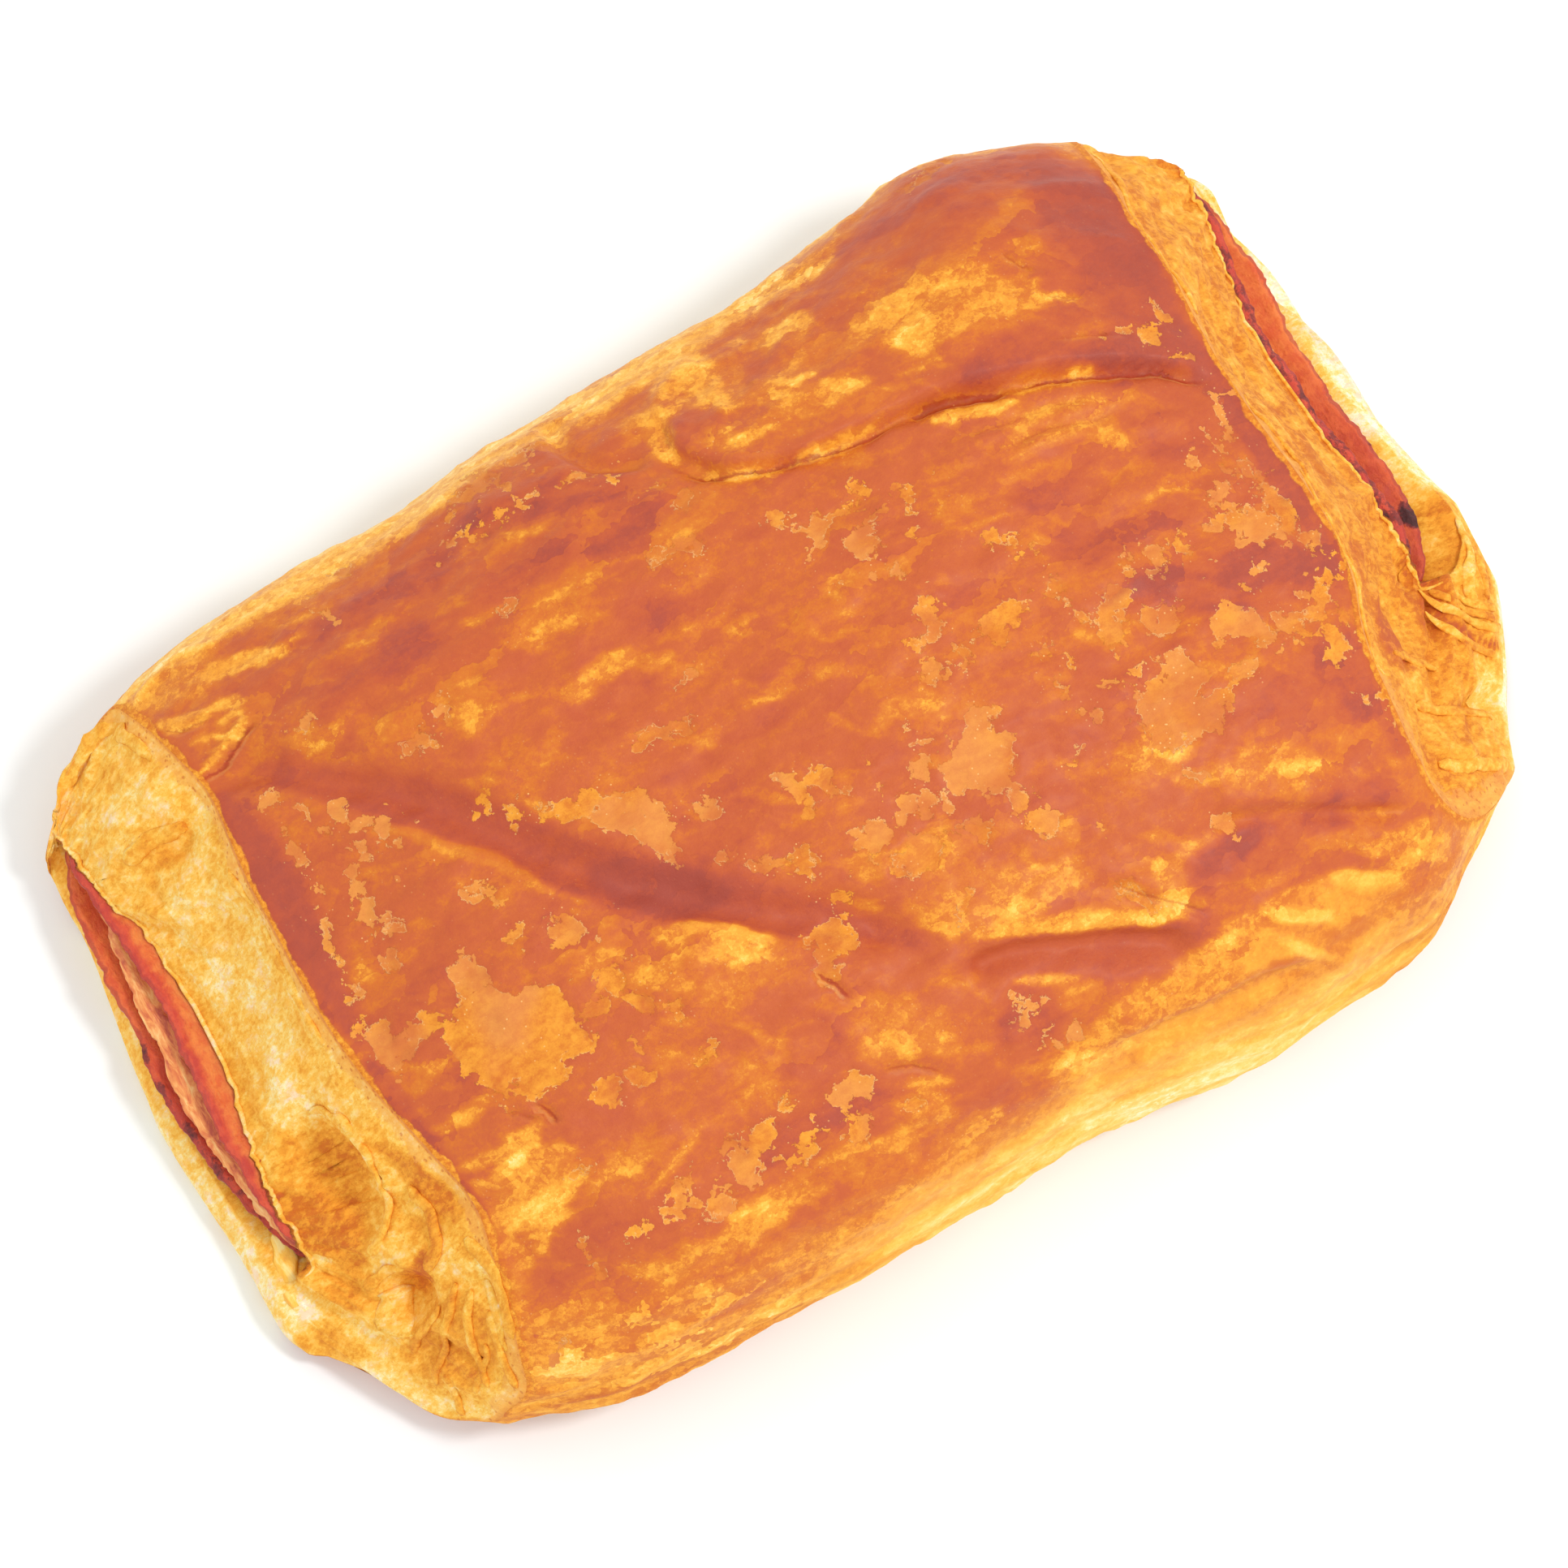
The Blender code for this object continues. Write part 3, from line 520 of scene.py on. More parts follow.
# Where the oven browned the skin more or less: X, Y, length, width, turn, browning and how strongly.
skinPaint = {
    "start": 0.655, "drift": (0.03, 12, 8, 61, 2), "topFrom": (1, 9),
    "bendX": [(1.3, 7, 5, 51, 3), (0.6, 1.9, 1.5, 52, 2)],
    "bendY": [(1.1, 7, 5, 57, 3), (0.5, 1.9, 1.5, 58, 2)],
    "patches": [
        (-43.3, -13.6, 4.4, 2.8, 10, 0.78, 0.85), (-42.3, -18.4, 5.4, 2.6, 0, 0.74, 0.8),
        (-43, -23.4, 4, 2.6, 0, 0.66, 0.7), (-41.6, -31, 7, 6, 0, 0.44, 0.6),
        # far left corner and the far side
        (-44.8, 31.4, 7, 5, 0, 0.52, 0.9), (-44, 24.9, 3.6, 2.4, 10, 0.36, 0.9),
        (-45.5, 32.5, 7, 3, 0, 0.62, 0.8), (-39.5, 32.3, 3.4, 3, 0, 0.78, 0.9),
        (-39, 30, 11, 2.2, -15, 0.34, 0.9), (-44, 25, 5, 3, 20, 0.4, 0.9), (-42, 21.5, 3, 4, -60, 0.5, 0.8),
        (-38, 19.8, 5, 2.4, -25, 0.4, 0.9), (-34, 18, 6, 3, -35, 0.5, 0.6), (-25, 33.5, 16, 3, 0, 0.6, 0.8),
        (-30, 24.6, 10, 1.6, -10, 0.55, 0.7), (-30, 22.3, 14, 5, 0, 0.84, 0.9),
        (-27, 28, 18, 3.6, -5, 0.84, 0.85), (-11, 22.5, 16, 5, -8, 0.84, 0.9),
        (-10, 27.5, 16, 4.6, -18, 0.86, 0.9), (-16, 17.6, 9, 4, 5, 0.5, 0.75),
        (-14, 10.8, 8, 2.6, -8, 0.43, 0.85), (-25, 7, 10, 5, 0, 0.56, 0.7), (-8, 13.2, 13, 4.4, 0, 0.79, 0.8),
        (-15, 7.4, 12, 4.4, 0, 0.8, 0.8), (-2, 14.4, 5, 4, 10, 0.52, 0.8), (-1.5, 1.6, 6, 1.6, 0, 0.44, 0.8),
        (-8, -0.6, 16, 2.6, 0, 0.78, 0.8), (2, -4, 7, 6, 0, 0.75, 0.7), (5, 6, 10, 5, 0, 0.58, 0.6),
        (-3, 9, 8, 3, 0, 0.6, 0.5),
        # the golden field behind the fold and its darker spots
        (10, 29, 20, 9, 0, 0.5, 0.85), (12, 23, 16, 5, 0, 0.47, 0.8), (29, 25, 18, 8, -8, 0.42, 0.9),
        (27, 30, 12, 3, -10, 0.5, 0.6), (21.3, 22.8, 4.4, 5, 0, 0.75, 0.9),
        (20.5, 31.6, 8, 3.6, -20, 0.68, 0.8), (5.7, 27, 3.2, 4.6, 0, 0.72, 0.85),
        (7.4, 32.4, 3.4, 6, 0, 0.34, 0.85), (7.6, 22.8, 6.4, 2.6, -10, 0.33, 0.9),
        (15.4, 20.2, 10, 2.4, -8, 0.6, 0.8), (16.6, 31, 6, 4, 0, 0.38, 0.8), (17, 23.4, 4, 3, -20, 0.34, 0.8),
        (13.5, 29.4, 6, 2, 10, 0.64, 0.7), (33, 31.6, 10, 4, 0, 0.76, 0.85), (37, 26, 6, 3, 0, 0.52, 0.8),
        (38.6, 20.9, 5, 1.5, -20, 0.3, 0.9), (33.6, 22, 10, 1.6, -25, 0.4, 0.8),
        (12, 21, 16, 1.6, -8, 0.62, 0.7), (26, 19.4, 16, 1.8, -8, 0.66, 0.7),
        (34, 18, 12, 3.4, -8, 0.82, 0.9), (26.8, 36.4, 3.6, 2.6, 0, 0.76, 0.9),
        (23, 36.8, 5, 1.6, 25, 0.28, 0.8), (43, 32.6, 7, 3, -30, 0.48, 0.75),
        # the dark right side
        (45, 24, 9, 26, 0, 0.9, 0.9), (37, 35.4, 20, 4, -12, 0.86, 0.9), (39, 38.6, 18, 4, -14, 0.84, 0.85),
        (41, 13.4, 12, 4.4, -20, 0.93, 0.9), (41.5, 6, 8, 9, 0, 0.88, 0.85), (30, 8.8, 8, 1.8, -8, 0.82, 0.7),
        (27, 3, 14, 6, 0, 0.72, 0.7), (33, -1.4, 14, 3.6, 0, 0.86, 0.8), (39, -9, 20, 6, -14, 0.95, 0.9),
        (30, 12, 14, 3, -5, 0.55, 0.7), (34, 10.5, 8, 2, -8, 0.45, 0.6), (36, 7, 4, 5, 30, 0.56, 0.6),
        (20, -13, 14, 8, 0, 0.77, 0.85), (15, -18.4, 8, 4, 0, 0.74, 0.8), (35, -20, 14, 4, 0, 0.75, 0.8),
        (43.5, -22, 6, 9, 0, 0.9, 0.85), (38, -24, 7, 4, 0, 0.74, 0.6),
        # the front right
        (25, -19, 12, 4, 20, 0.5, 0.8), (33, -26, 11, 5, -20, 0.47, 0.85),
        (21.8, -28.6, 5, 3.4, 0, 0.38, 0.85), (26.2, -29.9, 8, 4, 0, 0.94, 0.95),
        (36, -31.2, 4.8, 3.4, 0, 0.88, 0.9), (30, -32.2, 10, 1.8, -10, 0.7, 0.8),
        (41.2, -30.4, 4, 3, 0, 0.9, 0.8), (19.6, -30.8, 5, 2.6, -30, 0.34, 0.85),
        (20.8, -32.5, 2.6, 1, -25, 0.85, 0.85), (20.5, -37.2, 12, 4.4, 8, 0.34, 0.92),
        (27.5, -36.8, 12, 4.8, -4, 0.32, 0.92), (33, -37.2, 8, 4.4, -10, 0.32, 0.9),
        (10, -39, 15, 4, -3, 0.37, 0.9), (18, -40.6, 14, 3.6, -4, 0.42, 0.8),
        (2.6, -34.6, 6, 4.4, 0, 0.88, 0.9), (-2.4, -36.8, 5, 4.4, -30, 0.78, 0.85),
        (43, -30, 6, 5, 0, 0.68, 0.6), (7, -24, 15, 5, -6, 0.43, 0.85), (3, -17.6, 6, 4, 0, 0.42, 0.8),
        (2, -21, 9, 3, 0, 0.5, 0.7), (4, -32.8, 6, 4, 0, 0.84, 0.85), (9.5, -34, 6, 3, 0, 0.62, 0.6),
        (15, -37.2, 20, 4, 0, 0.42, 0.9), (30, -37.4, 16, 5, -5, 0.43, 0.9), (41, -36.6, 9, 5, -10, 0.4, 0.8),
        (39.6, -36.4, 4, 2, 20, 0.55, 0.7), (46, -32, 3, 9, 10, 0.62, 0.7),
        # the front left
        (-17, -14.6, 11, 5, -32, 0.43, 0.9), (-16, -19, 12, 3, 0, 0.5, 0.7), (-25, -11.6, 6, 2, 0, 0.48, 0.7),
        (-15.6, -22.6, 10, 3, 0, 0.76, 0.85), (-14, -27, 8, 5, -20, 0.74, 0.8),
        (-11.6, -27, 3, 6, 20, 0.82, 0.8), (-20, -31.6, 12, 3.6, 0, 0.84, 0.9), (-13, -33, 9, 4, 0, 0.8, 0.8),
        (-7, -29, 10, 6, -25, 0.47, 0.85), (-4, -22.4, 5, 5, 0, 0.72, 0.6), (-1, -35.4, 8, 3, 0, 0.68, 0.8),
        (-8, -35.6, 5, 3, 0, 0.44, 0.8), (-42, -24.6, 11, 5, 0, 0.46, 0.85), (-42, -21.4, 9, 2, 8, 0.34, 0.9),
        (-43.4, -13.6, 5.4, 3, 0, 0.8, 0.9), (-43, -18.4, 6, 2.6, 0, 0.7, 0.85),
        (-41, -11.4, 6, 2, 0, 0.5, 0.7), (-46, -29, 2.6, 5, 0, 0.4, 0.8), (-41, -31.4, 9, 4, 0, 0.8, 0.9),
        (-34, -32.4, 9, 3.6, -8, 0.74, 0.8), (-33, -22.6, 6, 5, 0, 0.76, 0.8),
        (-27, -22.4, 9, 5, 0, 0.58, 0.7), (-32, -27.4, 12, 3, 8, 0.5, 0.8), (-30, -37, 26, 4, 0, 0.43, 0.9),
        (-43, -37.4, 12, 4, 0, 0.5, 0.8), (-16, -37, 18, 3.4, 0, 0.5, 0.8),
    ],
    "patchEdge": (1.25, 0.65),
    # brushed along a path: points, half width, edge softness on the left and right, browning, strength
    "strokes": [
        ([(-54, 36), (-30, 36), (-10, 36.2), (8, 37), (26, 38)], 2.6, 2.6, 1.6, 0.31, 0.92),
        ([(-47.6, 21.6), (-47.5, 12), (-47.8, 0), (-47.9, -7)], 2, 2, 1.2, 0.94, 0.9),
        ([(-48, -7), (-47.4, -14), (-46.4, -20), (-45.6, -25)], 0.8, 0.5, 0.5, 0.9, 0.85),
        ([(-48.6, 31), (-48.6, 26), (-48.2, 22.6)], 0.8, 0.6, 0.6, 0.8, 0.8),
        # golden streaks and red-orange scales of the front left corner
        ([(-45.3, -25.8), (-42, -26.3), (-39, -26.6)], 0.5, 0.6, 0.6, 0.34, 0.8),
        ([(-46, -19.9), (-43.3, -20.8), (-39.3, -21)], 0.4, 0.5, 0.5, 0.38, 0.75),
        ([(-44.8, -16), (-42.6, -16.6), (-39.6, -15.8)], 0.4, 0.5, 0.5, 0.42, 0.7),
        ([(-41.4, -22.6), (-38, -23), (-35.6, -24.2)], 0.4, 0.5, 0.5, 0.42, 0.7),
        ([(-47, 20), (-43.6, 19.8), (-40, 16.4), (-35, 11), (-31, 6), (-27, 1), (-22.6, -5), (-17.4, -10),
         (-11.6, -15), (-5, -20.6), (0.6, -26)], 2.3, 1.1, 0.6, 0.88, 0.92),
        ([(-24, -3.4), (-19, -8.6), (-13.6, -12.4)], 1.6, 1.4, 1, 1, 0.8),
        ([(-0.4, -26.4), (3.4, -28.3), (6.6, -29.8), (10.4, -31.5), (14.2, -32.9), (17.6, -33.8),
         (23, -34.6)], 1.75, 0.35, 0.5, 0.8, 0.96),
        ([(35, 36.5), (43, 36), (46.4, 31), (46.4, 24), (46.6, 17)], 2.2, 2, 1.4, 0.95, 0.8),
        ([(46.6, 17), (47, 11), (47.8, 4), (48, -4), (47.6, -10), (46.8, -15)], 1.5, 1, 0.8, 0.96, 0.85),
        ([(46, -17), (45, -22), (45.4, -27), (44, -30)], 1.2, 1.2, 1.2, 0.84, 0.8),
        ([(-37.6, 10), (-35, 7.4), (-33, 4.4), (-30, 1.4), (-28.3, -2), (-26.4, -5.6)], 0.5, 0.4, 0.6, 0.36,
         0.65), ([(-21.8, -11.2), (-18.4, -12.4), (-15, -14.8), (-12.2, -17.6)], 0.35, 0.25, 0.7, 0.27, 0.8),
        ([(1.6, -25.6), (4, -26.1), (8, -27.6), (12.6, -29.4), (17.4, -31.7), (21, -33.2)], 0.5, 1.3, 0.3,
         0.28, 0.85), ([(3.6, -30.2), (6, -31.3), (9.4, -32.7)], 0.3, 0.3, 0.5, 0.3, 0.8),
        ([(4.2, 21.2), (9.6, 18.7)], 0.4, 0.4, 0.5, 0.34, 0.8),
        ([(10, 19.3), (19, 18.4)], 0.25, 0.3, 0.3, 0.3, 0.6),
        ([(22.4, 16.4), (25.2, 15.5), (28, 14.6), (30.6, 13.9)], 0.7, 0.4, 0.4, 0.24, 0.85),
        ([(29.6, 15.1), (33.4, 14.2), (37, 12.7), (41, 11.2)], 0.25, 0.3, 0.3, 0.36, 0.7),
        ([(30, 12.6), (34.6, 11.6), (38, 10.4)], 0.4, 0.5, 0.5, 0.42, 0.7),
        ([(26, 9.2), (30, 9.7), (35, 9.1)], 0.5, 0.7, 0.7, 0.42, 0.7),
        ([(35.4, 8.6), (37, 5.8)], 0.5, 0.6, 0.6, 0.45, 0.7),
        ([(24.6, 8.2), (29.8, 7.8)], 0.4, 0.5, 0.5, 0.45, 0.6),
        ([(35.4, 14.3), (38.2, 13.4)], 0.3, 0.3, 0.3, 0.3, 0.9),
        ([(2.2, 24.6), (1.7, 26.6), (2, 29), (3.2, 31.4)], 1.1, 0.6, 0.6, 0.35, 0.85),
        ([(3.2, 31.4), (5, 33), (7.4, 34.2)], 0.7, 0.5, 0.7, 0.34, 0.8),
        ([(12.6, 27.4), (14.3, 25.8), (17, 25.7)], 0.4, 0.3, 0.4, 0.26, 0.8),
        ([(7.8, 26), (8.4, 29.4), (9.2, 31.4)], 0.6, 0.6, 0.6, 0.28, 0.7),
        ([(20, -18.9), (26, -17.4)], 0.5, 0.6, 0.6, 0.42, 0.7),
        ([(24, -22), (31, -24.6)], 0.6, 0.8, 0.8, 0.36, 0.6),
        ([(32, -24.8), (38, -27.8)], 0.4, 0.5, 0.5, 0.36, 0.7),
        ([(-36, -26.2), (-45, -26.8)], 0.5, 0.6, 0.6, 0.34, 0.8),
        ([(-50.2, 32.2), (-48.2, 33.6), (-45.7, 34.9), (-43.6, 34.6), (-41.9, 33.4), (-40.4, 33.8)], 0.45,
         0.3, 0.5, 0.16, 0.85),
        ([(-49.2, 29.6), (-47.8, 28), (-45.8, 27.4), (-44, 27.4)], 0.75, 0.35, 0.35, 0.3, 0.8),
        ([(-44.4, 27.5), (-42.6, 27.2), (-41.2, 26.2)], 0.6, 0.35, 0.35, 0.3, 0.7),
        ([(-48.6, 22.6), (-46.5, 23.3), (-44, 24.2), (-41.6, 24.9)], 0.3, 0.3, 0.3, 0.3, 0.8),
        ([(-45.4, 26.2), (-44.2, 25), (-42.4, 25.2)], 0.3, 0.3, 0.3, 0.66, 0.8),
        ([(-25, -27.4), (-33, -30.6)], 0.35, 0.4, 0.4, 0.36, 0.7),
        ([(-9, -33), (-4.6, -34.8)], 0.35, 0.4, 0.4, 0.34, 0.7),
        ([(26.4, -35), (27.2, -36.2), (30, -37.4), (32.4, -38.2)], 0.5, 0.4, 0.6, 0.22, 0.8),
        ([(25.8, -35.4), (26.6, -36.9), (29.6, -38.3), (31.8, -39.1)], 0.35, 0.3, 0.3, 0.52, 0.7),
        ([(26.6, -38), (28.8, -39.8), (31, -41.2)], 0.4, 0.3, 0.3, 0.2, 0.7),
        ([(27.6, -37.8), (29.8, -39.4), (32, -40.8)], 0.3, 0.3, 0.3, 0.48, 0.6),
        ([(33, -35.4), (36, -36.8), (40, -38.6)], 0.5, 0.4, 0.8, 0.24, 0.8),
        ([(14, -38.6), (18, -39.5), (21, -39.4), (25, -39.9), (30, -41.2)], 0.45, 0.3, 0.6, 0.52, 0.75),
    ],
    "smoothAreas": [(12, -43, 70, 8, 0), (30, -39, 18, 8, 10), (-33, 8, 32, 6, -50), (-15, -12, 26, 6, -42),
                    (10, -31, 22, 4, -20), (45, 22, 8, 34, 0), (-47.4, 8, 4, 28, 0)],
    "calming": 0.75,
    # how strong the golden veins and redder clouds are, and the browning of what stands proud
    "goldVeins": 0.15, "veinSize": (6.5, 2.3), "veinTurn": (0.94, 0.34), "redClouds": 0.08,
    "heightBrowning": 0.13,
    # browning down the near side, along X, and down the far side
    "nearFlank": [
        (-60, 0.42), (-48, 0.4), (-30, 0.38), (-16, 0.34), (-6, 0.29), (12, 0.24), (24, 0.27), (34, 0.33),
        (44, 0.43), (50, 0.38), (62, 0.3),
    ],
    "farFlank": 0.22, "flankTop": {"near": 18.0, "far": 17.0}, "lowPaleAndLit": 0.08, "underside": 0.58,
}

# Places where the top leaf has flaked off: X, Y, length, width, turn.
flakePlaces = [
    # left of the long valley
    (-43.8, 16.8, 1.9, 1.8, 0), (-44.1, 14.1, 0.9, 1.3, 0), (-42, 14, 1, 2, -15), (-44.6, 11, 1.3, 1.6, 0),
    (-39.4, 13.2, 1.2, 1.8, 20), (-41.2, 11.8, 0.8, 0.7, 0), (-38.6, 10.7, 2, 0.9, -25),
    (-39.5, 8.4, 0.7, 1.6, 10), (-36.9, 9.1, 1.6, 1.6, 0), (-37.2, 7.4, 2.2, 0.7, 10),
    (-44.2, 7.8, 1, 1.4, 0), (-41.2, 6.4, 1.2, 2.4, -20), (-41.6, 3.2, 1.4, 4, 0), (-40.6, 1, 1.6, 2.4, 25),
    (-45.7, 3, 1, 4, -8), (-46.3, -1.4, 0.5, 2, -10), (-42.2, -1.4, 1.1, 2, 0), (-46.4, -7, 1.8, 5, 4),
    (-44, -8.4, 4.4, 1.8, 12), (-41.6, -8, 2, 2, 0), (-37.4, -12.4, 7, 8.4, 0), (-34, -13.6, 6.4, 6.4, 0),
    (-36.7, -6.6, 2.4, 4, 0), (-36, -17.2, 5.6, 2, 0), (-40.4, -11.2, 1.6, 2, 0), (-31.2, -16.6, 2, 1.6, 0),
    (-27.7, -7.4, 2.2, 2.8, -10), (-31.7, -5, 1.4, 1.1, 0), (-26.4, -13.4, 2.6, 2.6, 0),
    (-25.6, -15.8, 1.6, 3, 10), (-28.6, -14.6, 2, 1.2, 0), (-27.2, -19, 0.6, 0.8, 0),
    (-28.6, -21.4, 2.4, 1.4, -20), (-31.4, -21.4, 2.4, 2, 0), (-22.4, -23, 1.2, 1.5, 0),
    (-22.8, -17.8, 0.8, 2.4, 0), (-31.4, -1.4, 1, 2, 0), (-33, -0.6, 1, 1, 0), (-36.6, -25.4, 1.6, 0.8, 0),
    (-39.3, -31.6, 0.9, 2.2, 0), (-39.4, -33.6, 1.3, 1.4, 0), (-46.5, -37, 1.9, 1.2, 0),
    (-46.2, -38.8, 0.8, 0.5, 0), (-34.6, -32.4, 1.8, 0.8, -20), (-30, -31.2, 3.6, 0.9, 40),
    (-31, -32.8, 2.4, 0.9, 10), (-27.4, -34, 2.6, 1.6, 25),
    # front middle
    (-21.8, -31, 3.6, 1.9, 0), (-24.4, -32.4, 2.2, 4, 0), (-18.4, -33.6, 3, 1.8, 35),
    (-13, -31.3, 3.2, 2.4, -15), (-14, -34.4, 2.8, 1.6, 0), (-8.7, -34.8, 1.2, 0.9, 0),
    (-18.3, -29.5, 0.9, 0.7, 0), (-21, -34, 2, 0.8, 0), (-8.4, -20, 4.2, 3, 20), (-10.4, -22, 1.6, 1.4, 0),
    (4.2, -35.4, 1.3, 1.1, 0), (6.6, -36, 1.4, 1, 0), (2.8, -33.6, 1.2, 1.3, 0), (3.2, -31.6, 0.4, 1.2, 0),
    (4.6, -32.8, 0.9, 0.4, 0),
    # right of the long valley
    (-21.4, 1.6, 4.6, 1.7, -10), (-18.2, -1, 5.4, 3.2, -25), (-16.8, -3.8, 3, 3.8, -20),
    (-16.4, -6, 1.2, 2, 0), (-28.2, 6.2, 1.3, 1.7, 0), (-26.6, 4, 1.2, 2.4, -25), (-24, 3.2, 0.9, 1, 0),
    (-27.4, 14.6, 1.4, 3, -20), (-30.4, 13.6, 3, 1.2, -30), (-12.4, 3.7, 3.4, 1.6, -12),
    (-10.4, 3, 2.4, 1.2, 0), (-7.4, 6.4, 2, 1.3, 25), (-1.6, 17, 2.6, 1.8, -25), (-4.4, 17.6, 2, 0.8, 10),
    (-4.6, -7, 1.9, 3.6, 10), (-2.4, -7.6, 1.9, 2.6, 0), (-11.8, -4.8, 2, 1.3, 0), (-13.2, -8.8, 1.5, 1.2, 0),
    (-10.2, -11.2, 2.8, 1.4, -35), (-8.6, -12.2, 1.2, 1.2, 0), (-6.8, -12.8, 1.4, 1.8, 30),
    (-0.8, -13.8, 3.4, 2.2, 0), (-0.6, -9.2, 1, 1, 0), (-5.6, -17, 2.4, 1, -30), (3, -13, 2.4, 1.6, 0),
    (11, -12.4, 4.6, 6, 0), (12.4, -9.8, 3, 2, 15), (8.4, -13.4, 3, 2.4, 0), (5.8, -10.8, 2, 1.6, 0),
    (7.4, -9.2, 2, 0.8, -25), (5, -13.6, 2.4, 1.4, -20), (12.4, -17.4, 2.4, 2, 0),
    (12.9, -20.2, 2.2, 2.2, 10), (7.6, -17.8, 1.6, 1.5, 30), (2, -17.4, 4.6, 2.6, 5), (6, -15.4, 1.6, 1.2, 0),
    (12.6, -1, 3.2, 1.4, 15), (14, -3.6, 1, 2, 0), (11, -3.8, 2, 1.6, 0), (19, -2.8, 4.6, 2, 5),
    (17.6, -4.4, 1.2, 1.4, 0), (28.4, -6.2, 2, 3, 10), (24.1, -2.7, 1.3, 2.4, 20), (24.5, -5.4, 1, 1.6, 0),
    (20.4, -6.8, 1.9, 0.9, 0), (22.1, -9, 0.9, 1.2, 0), (20, -10.7, 1.6, 1.3, 0), (23.8, -12.4, 1.3, 0.8, 20),
    (26.5, -12.7, 1, 0.8, 0), (21.4, -14.3, 1, 1, 0), (20.5, -13.1, 0.6, 0.5, 0),
    (18.3, -16.5, 1.1, 0.6, -20), (15.7, 7.7, 0.8, 0.7, 0), (26.4, -8, 2.2, 3.4, 0), (5.9, -6.9, 0.9, 0.6, 0),
    # the branched flake behind the middle, and its neighbours
    (9, 12.6, 2.4, 1.9, 60), (11.4, 13, 3.4, 0.8, 12), (13.8, 13.9, 1.9, 1.4, -30), (7.6, 13, 1, 0.9, 0),
    (6.2, 15.3, 1.6, 0.7, 0), (8.2, 10.6, 1.4, 0.7, 40), (11.4, 9.4, 3, 2.8, 10), (13.6, 11, 2.6, 0.8, 15),
    (17, 11.2, 1.9, 2, 0), (16.8, 9.8, 0.9, 0.9, 0), (12.8, 5.4, 0.7, 1.4, 15), (21.6, 4.2, 1.8, 1.9, 25),
    (22.6, 3.2, 1.2, 0.9, 0), (13.2, 0.8, 2.2, 2, 0), (24.2, 1.4, 0.8, 1.9, 10), (23, 0.8, 0.9, 0.6, 0),
    (0.5, 20.9, 2, 1.4, -20), (-0.8, 23.9, 1.2, 0.6, 0), (-6, 27.6, 2.8, 1, -20), (-3.2, 26, 1, 0.5, 0),
    (-9.8, 33, 1.7, 1.4, 0), (-13.8, 33, 1.4, 3, -15), (-12.4, 31, 0.7, 1.8, 20), (-15.4, 32.6, 1.6, 0.9, 0),
    (-17.4, 31.5, 1.3, 0.6, 10), (-7.4, 33.2, 2.4, 0.5, 50), (-13.8, 27.9, 1.2, 0.8, 0),
    (-11.2, 28.5, 0.9, 0.7, 0), (-16.4, 28.7, 1.6, 0.8, -10), (-19, 29.2, 0.8, 1.1, 0),
    (-28.2, 33, 0.8, 0.8, 0), (-31.4, 29.2, 1.3, 1.9, 20), (-31.6, 32.5, 0.6, 0.6, 0),
    (-17.4, 20.6, 1.5, 1.1, -20),
    # the right side
    (31, -9.7, 3, 2.2, 10), (33.1, -8.7, 1.2, 0.6, 0), (33.4, -4, 1.7, 2.4, 0), (33, -5.6, 1.9, 1, 0),
    (36.3, -4.4, 1.1, 1.5, 0), (39.3, -4.4, 0.6, 0.9, 0), (30.1, -4.9, 1.3, 0.7, 0), (31.3, -3, 0.5, 0.8, 0),
    (41.4, -3.8, 2.4, 3, 0), (43.2, -6, 3.6, 3, -20), (41.6, -6.4, 1.8, 1.4, 0), (44.8, -7.4, 0.8, 2, 0),
    (43.2, -4.4, 1, 1, 0), (40.8, -1.4, 0.8, 0.8, 0), (41.9, -2, 0.6, 1.4, -15), (44.8, -1, 1.1, 2, -20),
    (44.4, -4.4, 0.5, 0.8, 0), (46, -5, 1.4, 5.4, 0), (46.6, -9, 1, 2.6, 0), (47.2, -10.6, 0.6, 1.4, 0),
    (46, -12.8, 2, 1.2, 35), (43, -12.8, 0.9, 0.9, 0), (44.6, -14.4, 1.4, 2.6, -40), (43.2, -15, 1.6, 2, 30),
    (36.2, -12.8, 3.6, 2.6, -15), (38, -14.6, 1.7, 2.8, 25), (40.4, -14.6, 1.6, 2, 0),
    (41.4, -15.6, 1.5, 2.4, 20), (40.6, -16.6, 0.7, 0.7, 0), (43.8, -17.8, 1.5, 3, -15),
    (43.4, -19.6, 0.8, 1.6, 0), (42.8, -18.4, 1.4, 0.6, 20), (45.9, -16.8, 0.8, 2, 10),
    (41.3, -9.5, 1, 1.3, 0), (39.4, -10.3, 1, 0.8, 0), (48.2, -11.8, 0.5, 2.4, 0), (34.7, -16.6, 2.4, 1.6, 0),
    (32.3, -17.8, 1.4, 0.9, 0), (27.6, -16.4, 6, 4.4, 15), (30, -14.4, 3, 3.6, 0),
    (29.8, -18.6, 4.4, 2.6, 10), (26, -19, 3, 2, 0), (27, -27.7, 2, 1.4, -20), (43.6, -23.9, 0.7, 1.2, 0),
    (46, -23.9, 1.2, 1.6, 30), (46.4, -25.6, 1.4, 2.2, 0), (45.4, -26, 0.8, 1.2, 0), (46.6, -28.4, 1.6, 3, 0),
    (43.9, -28.6, 0.6, 0.7, 0), (17, -29.6, 2.6, 1.5, -50), (16, -28.2, 1.2, 1.6, 0),
    (26.6, -22.8, 1.4, 0.8, 0), (26.6, -20.8, 1.3, 0.5, 0), (17, -22.6, 0.5, 1, 0), (3, -23, 2, 0.7, 40),
